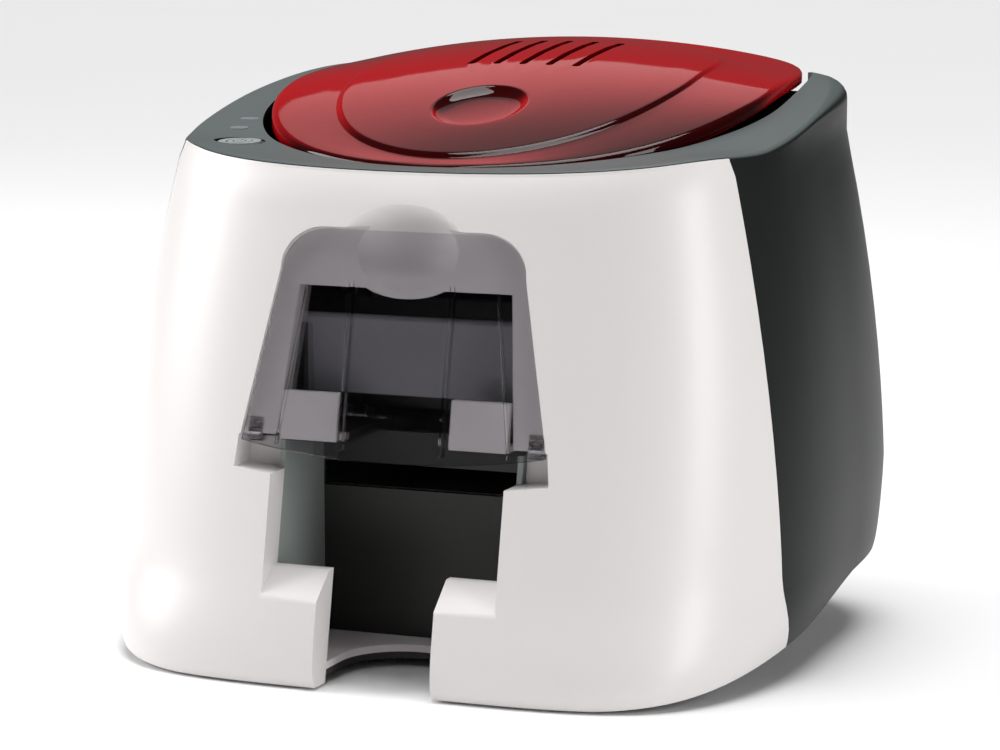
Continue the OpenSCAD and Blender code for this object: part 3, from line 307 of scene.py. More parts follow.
    def lid(self, skin):
        """Rings of the lid: over the dish and the crease to the skirt, and back underneath"""
        lap = self.angles
        rings = [[(0, self.dish_y, self.lid_z(0, self.dish_y) - 3.4)]]
        bowl = (6, -3.35), (11, -3.0), (14.4, -2.45), (16.2, -1.2), (16.9, -0.5), (17.4, -0.12), (18.4, 0)
        for radius, dz in bowl:
            rings.append(self.on_lid([self.dish(a, radius) for a in lap], dz))
        dish = [self.dish(a, 18.4) for a in lap]
        for t in (0.15, 0.32, 0.5, 0.68, 0.86, 0.96):
            rings.append(self.on_lid(self.between(dish, [self.crease(a, 2.4) for a in lap], t), 0))
        for inset, dz in ((2.4, 0), (1.7, -0.08), (1.1, -0.45), (0.6, -0.95), (0, -1.15)):
            rings.append(self.on_lid([self.crease(a, inset) for a in lap], dz))
        crease, rim = [self.crease(a, 0) for a in lap], [self.lid_ring(a, 2.2) for a in lap]
        for t in (0.25, 0.5, 0.75):
            rings.append(self.on_lid(self.between(crease, rim, t), t - 1.15))
        for inset, dz in ((2.2, -0.15), (1.2, -0.25), (0.45, -0.62), (0, -1.4)):
            rings.append(self.on_lid([self.lid_ring(a, inset) for a in lap], dz))
        edge = [self.lid_ring(a, 0) for a in lap]
        rings.append([(x, y, self.skirt_z(x, y) + 0.5) for x, y in edge])
        foot = [self.skirt_z(x, y) for x, y in edge]
        rings.append([(*self.lid_ring(a, 0.5), z) for a, z in zip(lap, foot)])
        rings.append([(*self.lid_ring(a, skin), z) for a, z in zip(lap, foot)])
        rings.append(self.on_lid([self.lid_ring(a, skin + 0.6) for a in lap], -skin - 1.4))
        outer = [self.lid_ring(a, 3) for a in lap]
        inner = [self.crease(a, 1.2) for a in lap]
        rings += [self.on_lid(self.between(outer, inner, t), -skin - 1.2 + 0.3 * t) for t in (0.3, 0.65)]
        rings.append(self.on_lid([self.crease(a, 2) for a in lap], -skin - 1))
        inner, under = [self.crease(a, 2) for a in lap], [self.dish(a, 18) for a in lap]
        rings += [self.on_lid(self.between(inner, under, t), -skin) for t in (0.25, 0.6)]
        rings.append(self.on_lid([self.dish(a, 17.6) for a in lap], -skin - 1.6))
        rings.append(self.on_lid([self.dish(a, 10) for a in lap], -skin - 3.1))
        return rings + [[(0, self.dish_y, self.lid_z(0, self.dish_y) - skin - 3.4)]]

    def lid_opening(self):
        """Outline of the hole in the deck, a little wider than the lid"""
        points = []
        for a in self.angles:
            c, s = abs(math.cos(math.radians(a))), math.sin(math.radians(a))
            x, y = self.lid_ring(a, -1.2 - 2.4 * c if s < 0 else -1.4 - 2.2 * c)
            points.append((x, min(y, self.hinge[0] + 1.9)))
        return points

    # Feeder cover
    def cover_half(self, z):
        """Half width of the cover at a height, drawn in round its shoulders"""
        if z < self.shoulder_z:
            return self.cover_foot - (z - self.cover_z0) * self.cover_taper
        rise = min(1, (z - self.shoulder_z) / self.shoulder_r)
        bend = math.sqrt(max(0.0, 1 - rise ** 2))
        return self.cover_foot - (self.shoulder_z - self.cover_z0) * self.cover_taper - 16.5 * (1 - bend)

    def front_face(self, x, z):
        """Place of the front wall at a height and a distance from the middle"""
        exponent, along = self.front_power(z), self.middle - self.front_at(z)
        share = min(0.98, abs(x) / self.width_at(z))
        return self.middle - along * (1 - share ** exponent) ** (1 / exponent)

    def cover_outline(self, grow):
        levels = [self.cover_z0 + 12 * k for k in range(5)]
        right = [(self.cover_half(z) + grow, z) for z in levels]
        for k in range(0, 90, 5):
            z = self.shoulder_z + self.shoulder_r * math.sin(math.radians(k))
            right.append((self.cover_half(z) + grow, z + grow * min(1, k / 15)))
        right = [(self.cover_foot + grow, self.cover_z0 - 6)] + right + [(28, self.cover_z1 + grow)]
        return right + [(-x, z) for x, z in reversed(right)]


# Mesh tools

def stack(rings):
    """Closed skin over a stack of rings; the first and last rings are single points"""
    bm = bmesh.new()
    count = len(rings[1])
    loop = bmesh.ops.create_circle(bm, cap_ends=False, segments=count, radius=1)["verts"]
    for vert, point in zip(loop, rings[1]):
        vert.co = Vector(point) * MM
    first = loop
    for ring in rings[2:-1] + [rings[-1] * count]:
        edges = [bm.edges.get((loop[i], loop[(i + 1) % count])) for i in range(count)]
        made = bmesh.ops.extrude_edge_only(bm, edges=edges)["geom"]
        fresh = {item for item in made if isinstance(item, bmesh.types.BMVert)}
        loop = [next(e.other_vert(v) for e in v.link_edges if e.other_vert(v) in fresh) for v in loop]
        for vert, point in zip(loop, ring):
            vert.co = Vector(point) * MM
    edges = [bm.edges.get((first[i], first[(i + 1) % count])) for i in range(count)]
    made = bmesh.ops.extrude_edge_only(bm, edges=edges)["geom"]
    for item in made:
        if isinstance(item, bmesh.types.BMVert):
            item.co = Vector(rings[0][0]) * MM
    bmesh.ops.remove_doubles(bm, verts=bm.verts, dist=WELD)
    bmesh.ops.recalc_face_normals(bm, faces=bm.faces)
    return bm


def prism(points, start, end, axis="X"):
    """Straight prism: a profile pushed from start to end along an axis"""
    order = {"X": (2, 0, 1), "Y": (0, 2, 1), "Z": (0, 1, 2)}[axis]

    def place(point, along):
        values = *point, along
        return [values[i] for i in order]

    bm = bmesh.new()
    verts = [bm.verts.new(Vector(place(p, start)) * MM) for p in points]
    edges = [bm.edges.new((verts[i - 1], verts[i])) for i in range(len(verts))]
    bmesh.ops.edgeloop_fill(bm, edges=edges)
    made = bmesh.ops.extrude_face_region(bm, geom=bm.faces[:])["geom"]
    step = Vector(place((0, 0), end)) - Vector(place((0, 0), start))
    bmesh.ops.translate(bm, vec=step * MM, verts=[v for v in made if isinstance(v, bmesh.types.BMVert)])
    bmesh.ops.recalc_face_normals(bm, faces=bm.faces)
    return bm


def block(low, high):
    bm = bmesh.new()
    bmesh.ops.create_cube(bm, size=1)
    bmesh.ops.scale(bm, vec=[(b - a) * MM for a, b in zip(low, high)], verts=bm.verts)
    bmesh.ops.translate(bm, vec=[(a + b) / 2 * MM for a, b in zip(low, high)], verts=bm.verts)
    return bm


def bar(radius, start, end, axis="X", segments=48):
    """Round bar between two points that differ along one axis"""
    bm = bmesh.new()
    length = (Vector(end) - Vector(start)).length
    bmesh.ops.create_cone(bm, cap_ends=True, segments=segments, radius1=radius * MM, radius2=radius * MM,
                          depth=length * MM)
    if axis != "Z":
        turn = Matrix.Rotation(math.pi / 2, 3, "Y" if axis == "X" else "X")
        bmesh.ops.rotate(bm, cent=(0, 0, 0), matrix=turn, verts=bm.verts)
    bmesh.ops.translate(bm, vec=(Vector(start) + Vector(end)) / 2 * MM, verts=bm.verts)
    return bm


def pin(radius, x0, x1, place):
    """Round bar across the machine at a (y, z) place"""
    return bar(radius, (x0, *place), (x1, *place))


def on_side(side, near, far):
    """Ends of a stretch from near to far of the middle, on one side, the lower first"""
    return sorted((side * near, side * far))


def turned(profile, segments=96):
    """Closed form turned round an upright axis from (radius, height) points that start and end on it"""
    bm = bmesh.new()
    verts = [bm.verts.new((r * MM, 0, z * MM)) for r, z in profile]
    edges = [bm.edges.new(pair) for pair in zip(verts, verts[1:])]
    bmesh.ops.spin(bm, geom=verts + edges, cent=(0, 0, 0), axis=(0, 0, 1), angle=2 * math.pi,
                   steps=segments, use_merge=True)
    bmesh.ops.remove_doubles(bm, verts=bm.verts, dist=WELD)
    bmesh.ops.recalc_face_normals(bm, faces=bm.faces)
    return bm


def leaning_slab(form, d0, d1, z0, z1, x0, x1):
    """Slab that leans like the front wall, from depth d0 to d1 behind its plane"""
    corners = (z0, d0), (z0, d1), (z1, d1), (z1, d0)
    return prism([(-form.front_d + form.lean * z + d, z) for z, d in corners], x0, x1)


def piece(name, bm):
    """Turns a bmesh into a named object at the origin"""
    mesh = bpy.data.meshes.new(name)
    bm.to_mesh(mesh)
    bm.free()
    obj = bpy.data.objects.new(name, mesh)
    bpy.context.scene.collection.objects.link(obj)
    return obj


def bake(obj):
    """Applies the modifiers of a piece"""
    graph = bpy.context.evaluated_depsgraph_get()
    mesh = bpy.data.meshes.new_from_object(obj.evaluated_get(graph))
    obj.modifiers.clear()
    old, obj.data = obj.data, mesh
    bpy.data.meshes.remove(old)
    mesh.name = obj.name


def carve(obj, *cutters, operation="DIFFERENCE"):
    """Cuts each bmesh from a piece, or keeps or joins it; carving all away is an error"""
    for bm in cutters:
        tool = piece("tool", bm)
        mod = obj.modifiers.new("carve", "BOOLEAN")
        mod.operation = operation
        mod.solver = "MANIFOLD"
        mod.object = tool
        bake(obj)
        mesh = tool.data
        bpy.data.objects.remove(tool)
        bpy.data.meshes.remove(mesh)
    if not obj.data.polygons:
        raise RuntimeError(f"{obj.name} came out empty")


def bmesh_of(obj):
    bm = bmesh.new()
    bm.from_mesh(obj.data)
    return bm


def take(obj):
    """Mesh of a helper piece, which is then gone"""
    bm = bmesh_of(obj)
    bpy.data.objects.remove(obj)
    return bm


def tidy(obj):
    """Merges the slivers that carving leaves along its cuts"""
    bm = bmesh_of(obj)
    bmesh.ops.remove_doubles(bm, verts=bm.verts, dist=SLIVER * MM)
    bmesh.ops.dissolve_degenerate(bm, dist=SLIVER * MM, edges=bm.edges)
    bm.to_mesh(obj.data)
    bm.free()


def finish_piece(obj, node, body, edge=0):
    """Rounds the sharp edges if asked, smooths the rest, and puts the piece in the place of its node"""
    tidy(obj)
    if edge:
        bevel = obj.modifiers.new("edges", "BEVEL")
        bevel.width = edge * MM
        bevel.segments = 2
        bevel.limit_method = "ANGLE"
        bevel.angle_limit = math.radians(50)
        bake(obj)
    for poly in obj.data.polygons:
        poly.use_smooth = True
    obj.data.set_sharp_from_angle(angle=math.radians(40))
    obj.modifiers.new("shading", "WEIGHTED_NORMAL").keep_sharp = True
    obj.data.materials.clear()
    obj.data.materials.append(finish(SLOTS[node]))
    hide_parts(node)
    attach(obj, body)


def post(form, x, y, side):
    """Screw post and the web that ties it to the wall"""
    foot = form.foot_z(y + 8) + 0.2
    bm = bar(6, (side * x, y, foot), (side * x, y, foot + 30), "Z")
    x0, x1 = on_side(side, x, x + 36)
    return bm, block((x0, y - 1.5, foot), (x1, y + 1.5, foot + 30))


def front_shell(form):
    """White front: wall, thick rim round the bin and the feeder, notch, mouth, finger bowl"""
    core = piece("core", stack(form.housing(form.wall, 6)))
    carve(core, leaning_slab(form, -30, form.rim_depth, -8, 172, -form.rim_half, form.rim_half))
    for side in (1, -1):
        x0, x1 = on_side(side, form.notch_half + 2.4, form.rim_half)
        carve(core, leaning_slab(form, -30, form.ledge_depth + 2, 66, form.shelf_hi + 9, x0, x1))
    for side in (-1, 1):
        carve(core, *post(form, form.half_w - 29, -form.front_d + 56.66, side))
    obj = piece("front_shell_piece", stack(form.housing(0, 0)))
    carve(obj, seam_prism(form, -1), stack(form.under_deck(form.gap / 2)), operation="INTERSECT")
    carve(obj, take(core), feeder_mouth(form), notch(form))
    for side in (-1, 1):
        carve(obj, shelf_slope(form, side))
    bowl = piece("bowl", finger_bowl(form, 2.4))
    carve(bowl, leaning_slab(form, 4, 26, 125, 172, -30, 30), operation="INTERSECT")
    carve(obj, take(bowl), operation="UNION")
    carve(obj, finger_bowl(form, 0), cover_recess(form))
    y, z = form.pivot_y, form.pivot_z
    for side in (-1, 1):
        x0, x1 = on_side(side, 49.4, 55)
        carve(obj, block((x0, y - 11.6, z - 5.8), (x1, y + 5.4, z + 5.4)))
    carve(obj, pin(form.pin_tight, -62, 62, (y, z)))
    return obj


def mirrored(right):
    """Closed profile from its right half"""
    return [(-x, z) for x, z in reversed(right)] + right


def notch(form):
    """Gap between the legs, the bin above it, and ledges under the corners of the cover"""
    wide, leg, low, high = form.notch_half, form.leg_half, form.shelf_lo + 9, form.shelf_hi
    top = form.cover_z0 + 2
    reach = -form.front_d - 17, -form.front_d + 33.66
    right = [(leg, -12), (leg, low), (wide, low), (wide, top)]
    obj = piece("notch", prism(mirrored(right), *reach, "Y"))
    right = [(wide, high - 1.4), (58.6, high), (57.4, top)]
    ledges = piece("ledges", prism(mirrored(right), *reach, "Y"))
    slab = leaning_slab(form, -30, form.ledge_depth, 60, 100, -form.rim_half, form.rim_half)
    carve(ledges, slab, operation="INTERSECT")
    carve(obj, take(ledges), operation="UNION")
    return take(obj)


def shelf_slope(form, side):
    """Space over a shelf, whose floor rises to the rear"""
    profile = [(-17, -4), (5.66, -1.5), (17.66, 8.2), (33.66, 8.6), (33.66, 14), (-17, 14)]
    ends = on_side(side, form.leg_half - 0.2, form.notch_half)
    return prism([(y - form.front_d, z + form.shelf_lo) for y, z in profile], *ends)


def feeder_mouth(form):
    half, low, high = form.notch_half + 1, form.cover_z0 - 2, 136.4
    profile = [(-half, low), (half, low), (half - 4.8, high), (4.8 - half, high)]
    return prism(profile, -form.front_d - 6, -form.front_d + 53.66, "Y")


def finger_bowl(form, grow):
    """Rounded bowl for a finger above the cover, wider than it is high"""
    arc = [math.radians(a) for a in range(-90, 91, 5)]
    radius, offset = 18.9 + grow, 5.2
    side = [(offset + radius * math.cos(a), radius * math.sin(a)) for a in arc]
    bm = turned([(0, -radius)] + side + [(0, radius)])
    bmesh.ops.scale(bm, vec=(1.17, 1, 0.92), verts=bm.verts)
    bmesh.ops.translate(bm, vec=Vector((0, -form.front_d + 19.16, 150.9)) * MM, verts=bm.verts)
    return bm


def cover_recess(form):
    """Shallow seat for the cover"""
    reach = -form.front_d - 16, -form.front_d + 53.66
    recess = piece("recess", prism(form.cover_outline(0.8), *reach, "Y"))
    carve(recess, leaning_slab(form, -30, 6, 70, 172, -70, 70), operation="INTERSECT")
    return take(recess)


def lozenge(length, width, steps=12):
    """Points of a flat shape with straight sides and round ends"""
    r, half = width / 2, (length - width) / 2
    turns = [math.radians(-90 + 180 * k / steps) for k in range(steps + 1)]
    right = [(half + r * math.cos(a), r * math.sin(a)) for a in turns]
    return right + [(-x, -y) for x, y in right]


def on_deck(form, bm, x, y, tilt):
    """Tips a shape back like the deck and sets it down on it"""
    turn = Matrix.Rotation(math.radians(tilt), 3, "X")
    bmesh.ops.rotate(bm, cent=(0, 0, 0), matrix=turn, verts=bm.verts)
    bmesh.ops.translate(bm, vec=Vector((x, y, form.rim_z(x, y))) * MM, verts=bm.verts)
    return bm


def seam_prism(form, side):
    """All that lies in front of the colour seam, to the front (-1) or the rear (1) side of its gap"""
    line = [(form.seam_line(z) + side * form.gap / 2, z) for z in range(-20, 201, 3)]
    return prism([(-300, -20)] + line + [(-300, 200)], -200, 200)


def rear_shell(form):
    """Dark rear: wall, deck, lid opening, hinge ears, holes for the button, windows and sockets"""
    core = piece("core", stack(form.housing(form.wall, 6)))
    x, y = form.button
    for side in (-1, 1):
        for place in ((form.half_w - 29, 4), (form.half_w - 33, 60)):
            carve(core, *post(form, *place, side))
        carve(core, bar(2.2, (x + 13 * side, y, 168), (x + 13 * side, y, 188), "Z"))
    zone = piece("zone", seam_prism(form, 1))
    carve(zone, stack(form.under_deck(-form.gap / 2)), operation="INTERSECT")
    obj = piece("rear_shell_piece", stack(form.housing(0, 0)))
    carve(obj, take(core), take(zone), prism(form.lid_opening(), 150, 240, "Z"))
    hinge_y, hinge_z = form.hinge
    carve(obj, block((-89, hinge_y - 8, hinge_z - 2.4), (89, hinge_y + 22, hinge_z + 57)))
    for side in (-1, 1):
        for near in (form.ear - 6, form.ear + form.knuckle + 0.4):
            x0, x1 = on_side(side, near, near + 5.6)
            strap = block((x0, hinge_y - 3, hinge_z - 14), (x1, hinge_y + 3.6, hinge_z))
            carve(obj, pin(form.knuckle_r, x0, x1, form.hinge), strap, operation="UNION")
    for length, width, low, high in ((19, 15.4, -1.3, 10.7), (16.6, 13.2, -12, 12)):
        carve(obj, on_deck(form, prism(lozenge(length, width), low, high, "Z"), x, y, form.button_tilt))
    for x, y in form.windows:
        hole = prism(lozenge(7.4, 4.2), -form.wall - 0.4, 9.6 - form.wall, "Z")
        carve(obj, on_deck(form, hole, x, y, form.window_tilt))
    rear, low = form.rear_d, form.socket_z
    carve(obj, bar(5.2, (36, rear - 7, low + 11), (36, rear + 5, low + 11), "Y"))
    carve(obj, block((9.7, rear - 8, low + 4.4), (22.3, rear + 8, low + 16)))
    pitch, half = 11, 1.6
    for i in range(-5, 6):
        carve(obj, block((i * pitch - half, rear - 6, 62), (i * pitch + half, rear + 6, 108)))
    for side in (-1, 1):
        gap = on_side(side, form.ear - 0.3, form.ear + form.knuckle + 0.3)
        carve(obj, pin(4.2, *gap, form.hinge))
    carve(obj, pin(form.pin_tight, -form.ear - 18, form.ear + 18, form.hinge))
    return obj


def top_lid(form):
    """Red lid: domed skin with a finger dish, a raised field, vents and hinge knuckles"""
    obj = piece("top_lid_piece", stack(form.lid(form.lid_skin)))
    hinge_y, hinge_z = form.hinge
    for side in (-1, 1):
        x0, x1 = on_side(side, form.ear, form.ear + form.knuckle)
        strap = block((x0, hinge_y - 3.6, hinge_z + 1.5), (x1, hinge_y + 0.8, hinge_z + 9))
        carve(obj, pin(form.knuckle_r, x0, x1, form.hinge), strap, operation="UNION")
    # Ribbed bracket under the dish
    for x in (2, 8, 14):
        rib = prism([(-42, 176), (-34, 176), (-34, 185.6), (-42, 182.6)], x, x + 1.6)
        carve(obj, rib, operation="UNION")
    carve(obj, block((2, -42, 174.4), (15.6, -34, 176.4)), operation="UNION")
    vent_pitch, vent_y = 10.4, 56.5
    turn = Matrix.Rotation(math.radians(88), 3, "Z")
    for i in range(-2, 3):
        slot = prism(lozenge(48, 3.1), 190, 230, "Z")
        bmesh.ops.rotate(slot, cent=(0, 0, 0), matrix=turn, verts=slot.verts)
        bmesh.ops.translate(slot, vec=Vector((i * vent_pitch, vent_y, 0)) * MM, verts=slot.verts)
        carve(obj, slot)
    for side in (-1, 1):
        for near in (form.ear - 6.4, form.ear + form.knuckle):
            carve(obj, pin(4.4, *on_side(side, near, near + 6.4), form.hinge))
    carve(obj, pin(form.pin_loose, -80, 80, form.hinge))
    return obj


def feeder_cover(form):
    """Smoked cover: a patch of the front's own curve with ribs inside and knuckles at its foot"""
    bm = bmesh.new()
    bmesh.ops.create_grid(bm, x_segments=44, y_segments=56, size=1)
    for vert in bm.verts:
        u, v = vert.co.x, (vert.co.y + 1) / 2
        v = 1 - (1 - v) ** 1.5
        low = form.cover_z0 - 4.4 * (1 - u * u)
        z = low + (form.cover_z1 - low) * v
        x = u * form.cover_half(z)
        vert.co = Vector((x, form.front_face(x, z) + 0.1, z)) * MM
    made = bmesh.ops.extrude_face_region(bm, geom=bm.faces[:])["geom"]
    skin = [item for item in made if isinstance(item, bmesh.types.BMVert)]
    bmesh.ops.translate(bm, vec=(0, form.cover_t * MM, 0), verts=skin)
    bmesh.ops.recalc_face_normals(bm, faces=bm.faces)
    obj = piece("feeder_cover_piece", bm)
    y, z = form.pivot_y, form.pivot_z
    for side in (-1, 1):
        strong = cover_rib(form, side * 18.8, side * 18.8, 3.4, 0.8, 81.5, 140)
        thin = cover_rib(form, side * 43.2, side * 35.4, 1.6, 0.5, 82, 138)
        x0, x1 = on_side(side, 50, 54.4)
        strap = block((x0, y - 4.6, z - 2.4), (x1, y + 0.4, z + 4))
        carve(obj, strong, thin, pin(3.2, x0, x1, (y, z)), strap, operation="UNION")
    carve(obj, pin(form.pin_loose, -60, 60, (y, z)))
    return obj


def cover_rib(form, foot_x, head_x, depth, half, z0, z1):
    """Rib on the inside of the cover, leaning with the front from its foot to its head"""
    face = -form.front_d + form.cover_t - 0.4
    profile = [(face + form.lean * z0, z0), (face + form.lean * z0 + depth, z0),
               (face + form.lean * z1 + depth * 0.6, z1 - 4), (face + form.lean * z1, z1)]
    bm = prism(profile, -half, half)
    for vert in bm.verts:
        share = (vert.co.z / MM - z0) / (z1 - z0)
        x = foot_x + (head_x - foot_x) * share
        vert.co.x += x * MM
        vert.co.y += (form.front_face(x, vert.co.z / MM) - form.front_face(0, vert.co.z / MM)) * MM
    return bm


def power_button(form):
    """Oval key with a ring groove and the general sign for power"""
    obj = piece("power_button_piece", prism(lozenge(16, 12.6, 24), -5.6, -0.3, "Z"))
    tidy(obj)
    carve(obj, ring_bar(4.4, 5.2, -1.0, 0.4))
    carve(obj, ring_bar(1.9, 2.7, -0.9, 0.2, gap=2), block((-0.4, 0.8, -0.9), (0.4, 3.1, 0.2)))
    carve(obj, prism(lozenge(19.6, 16, 24), -6, -4.4, "Z"), operation="UNION")
    x, y = form.button
    depth = form.rim_z(x, y) - 171
    carve(obj, bar(2, (0, 0, -depth), (0, 0, -4.8), "Z"), operation="UNION")
    bm = on_deck(form, bmesh_of(obj), x, y, form.button_tilt)
    bm.to_mesh(obj.data)
    bm.free()
    return obj


def ring_bar(inner, outer, low, high, gap=0):
    """Flat ring, open at its back by a gap if there is one"""
    obj = piece("ring", bar(outer, (0, 0, low), (0, 0, high), "Z", 96))
    carve(obj, bar(inner, (0, 0, low - 1), (0, 0, high + 1), "Z", 96))
    if gap:
        carve(obj, block((-gap / 2, 0, low - 1), (gap / 2, outer + 1, high + 1)))
    return take(obj)


# Finishes

class Finish:
    """One moulded, turned or coated surface: its colour, gloss and the scale of its detail"""

    def __init__(self, colour, rough, pattern="moulded", metal=0.0, tone=0.03, scale=20.0, grain=0.1,
                 painted_top_tone=None, painted_glancing_tone=None, **sockets):
        self.colour = colour
        self.rough = rough
        self.pattern = pattern
        self.metal = metal
        self.tone = tone
        self.scale = scale
        self.grain = grain
        # Paler colour painted on surfaces that face up, a painted highlight standing in for the light
        # from above
        self.painted_top_tone = painted_top_tone
        # Brighter colour painted along a grazing view: partly a deeper tint, partly painted light
        # standing in for the lit rear of a clear lid
        self.painted_glancing_tone = painted_glancing_tone
        self.sockets = sockets


FINISHES = {
    "shell_white": Finish((0.73, 0.705, 0.695), 0.34, tone=0.006, scale=9, grain=0.05),
    # shell_dark: the paler tone on its up-facing surfaces is a painted highlight standing in for the
    # light from above
    "shell_dark": Finish((0.008, 0.009, 0.009), 0.42, "satin", tone=0.06, scale=14, grain=0.2,
                         painted_top_tone=(0.095, 0.112, 0.112), Specular_IOR_Level=0.22),
    "base_dark": Finish((0.03, 0.03, 0.032), 0.6, tone=0.05, scale=14, grain=0.3),
    # lid_red: its bright red at a grazing view is partly the tint's longer path, partly painted light
    # standing in for the lid's lit rear
    "lid_red": Finish((0.05, 0.0006, 0.0012), 0.05, "painted_glancing_glow", tone=0.015, scale=8,
                      painted_glancing_tone=(0.72, 0.005, 0.012), Transmission_Weight=0.45, IOR=1.35,
                      Specular_IOR_Level=0.25),
    "cover_smoke": Finish((0.6, 0.58, 0.61), 0.06, tone=0.02, scale=8, grain=0.0, Transmission_Weight=1.0,
                          IOR=1.2, Alpha=0.72, Specular_IOR_Level=0.3),
    "button_grey": Finish((0.33, 0.36, 0.36), 0.35, scale=60, grain=0.12),
    "window_grey": Finish((0.24, 0.26, 0.27), 0.16, scale=80, grain=0.0),
    "bin_grey": Finish((0.29, 0.32, 0.305), 0.45, grain=0.2),
    "bin_black": Finish((0.013, 0.013, 0.011), 0.5, tone=0.06, grain=0.2),
    "tray_white": Finish((0.8, 0.74, 0.75), 0.42, tone=0.012, scale=14, grain=0.08),
    "rubber_black": Finish((0.018, 0.018, 0.019), 0.75, "rubber", tone=0.12, scale=90, grain=0.5),
    "steel": Finish((0.6, 0.61, 0.63), 0.24, "turned", metal=1.0, tone=0.06, scale=420),
    "plate_steel": Finish((0.5, 0.51, 0.53), 0.38, "rolled", metal=1.0, tone=0.08, scale=160),
    "gear_natural": Finish((0.8, 0.77, 0.66), 0.45, scale=60, Subsurface_Weight=0.08),
    "brass_part": Finish((0.72, 0.52, 0.2), 0.3, "turned", metal=1.0, tone=0.06, scale=500),
    "board_green": Finish((0.015, 0.13, 0.05), 0.34, "board", tone=0.3, scale=260, Coat_Weight=0.4,
                          Coat_Roughness=0.15),
    "chip_black": Finish((0.022, 0.022, 0.025), 0.5, tone=0.08, scale=120, grain=0.4),
    "head_metal": Finish((0.68, 0.69, 0.71), 0.32, "rolled", metal=1.0, tone=0.05, scale=200),
    "arm_dark": Finish((0.035, 0.035, 0.037), 0.5, tone=0.06, scale=30, grain=0.25),
    "cassette_black": Finish((0.03, 0.03, 0.034), 0.42, tone=0.05, scale=30, grain=0.25),
    "spool_white": Finish((0.74, 0.74, 0.71), 0.42, tone=0.02, scale=40),
    "ribbon_film": Finish((0.07, 0.012, 0.075), 0.16, "film", tone=0.25, scale=45),
    "flap_grey": Finish((0.2, 0.2, 0.215), 0.42, scale=30, grain=0.2),
}


MADE = {}


def finish(slot):
    """Material of a slot, made once"""
    if slot in MADE:
        return MADE[slot]
    spec = FINISHES[slot]
    made = MADE[slot] = bpy.data.materials.new(slot)
    made.use_nodes = True
    shader = made.node_tree.nodes["Principled BSDF"]
    shader.inputs["Metallic"].default_value = spec.metal
    for name, value in spec.sockets.items():
        shader.inputs[name.replace("_", " ")].default_value = value
    place = made.node_tree.nodes.new("ShaderNodeTexCoord").outputs["Object"]
    PATTERNS[spec.pattern](made.node_tree, shader, place, spec)
    return made


def wide_noise(tree, place, scale, stretch=(1, 1, 1), detail=4.0):
    """Soft noise, drawn out along an axis where stretch says so"""
    mapping = tree.nodes.new("ShaderNodeMapping")
    mapping.inputs["Scale"].default_value = stretch
    noise = tree.nodes.new("ShaderNodeTexNoise")
    noise.inputs["Scale"].default_value = scale
    noise.inputs["Detail"].default_value = detail
    tree.links.new(place, mapping.inputs["Vector"])
    tree.links.new(mapping.outputs["Vector"], noise.inputs["Vector"])
    return noise.outputs["Fac"]


def tone(tree, shader, factor, spec):
    """Lets the colour and the gloss drift a little with a pattern"""
    mix = tree.nodes.new("ShaderNodeMix")
    mix.data_type = "RGBA"
    mix.inputs["A"].default_value = (*[c * (1 - spec.tone) for c in spec.colour], 1)
    mix.inputs["B"].default_value = (*[min(1.0, c * (1 + spec.tone)) for c in spec.colour], 1)
    tree.links.new(factor, mix.inputs["Factor"])
    tree.links.new(mix.outputs["Result"], shader.inputs["Base Color"])
    gloss = tree.nodes.new("ShaderNodeMapRange")
    gloss.inputs["To Min"].default_value = max(0.03, spec.rough - 0.03)
    gloss.inputs["To Max"].default_value = min(1.0, spec.rough + 0.03)
    tree.links.new(factor, gloss.inputs["Value"])
    tree.links.new(gloss.outputs["Result"], shader.inputs["Roughness"])


def relief(tree, shader, height, strength, depth):
    """Raises a pattern on the surface without changing the mesh"""
    bump = tree.nodes.new("ShaderNodeBump")
    bump.inputs["Strength"].default_value = strength
    bump.inputs["Distance"].default_value = depth
    tree.links.new(height, bump.inputs["Height"])
    tree.links.new(bump.outputs["Normal"], shader.inputs["Normal"])


def moulded(tree, shader, place, spec):
    """Moulded plastic: a slow drift of tone and a fine spark-eroded grain"""
    tone(tree, shader, wide_noise(tree, place, spec.scale), spec)
    if spec.grain:
        relief(tree, shader, wide_noise(tree, place, 1400, detail=2.0), spec.grain, 0.0001)


def blend_to(tree, shader, factor, low, high, colour):
    """Carries the base colour over to another colour as a factor climbs from low to high"""
    share = tree.nodes.new("ShaderNodeMapRange")
    share.interpolation_type = "SMOOTHSTEP"
    share.inputs["From Min"].default_value = low
    share.inputs["From Max"].default_value = high
    mix = tree.nodes.new("ShaderNodeMix")
    mix.data_type = "RGBA"
    mix.inputs["B"].default_value = (*colour, 1)
    before = shader.inputs["Base Color"].links[0].from_socket
    tree.links.new(factor, share.inputs["Value"])
    tree.links.new(share.outputs["Result"], mix.inputs["Factor"])
    tree.links.new(before, mix.inputs["A"])
    tree.links.new(mix.outputs["Result"], shader.inputs["Base Color"])


def satin(tree, shader, place, spec):
    """Dark plastic whose colour is painted paler where it faces up: a painted highlight that stands in
    for the light from above
    """
    moulded(tree, shader, place, spec)
    split = tree.nodes.new("ShaderNodeSeparateXYZ")
    tree.links.new(place.node.outputs["Normal"], split.inputs["Vector"])
    # Painted light: the base colour turns to the paler painted tone as the surface normal points up
    blend_to(tree, shader, split.outputs["Z"], 0.4, 0.85, spec.painted_top_tone)


def painted_glancing_glow(tree, shader, place, spec):
    """Clear coloured plastic whose colour is painted brighter along a grazing view: partly the deeper
    tint of a longer path through it, partly painted light standing in for the lit rear of the lid
    """
    tone(tree, shader, wide_noise(tree, place, spec.scale), spec)
    weight = tree.nodes.new("ShaderNodeLayerWeight")
    # Painted light: the base colour goes from near black where the surface faces the view to bright red
    # at a grazing view
    blend_to(tree, shader, weight.outputs["Facing"], 0.5, 0.78, spec.painted_glancing_tone)


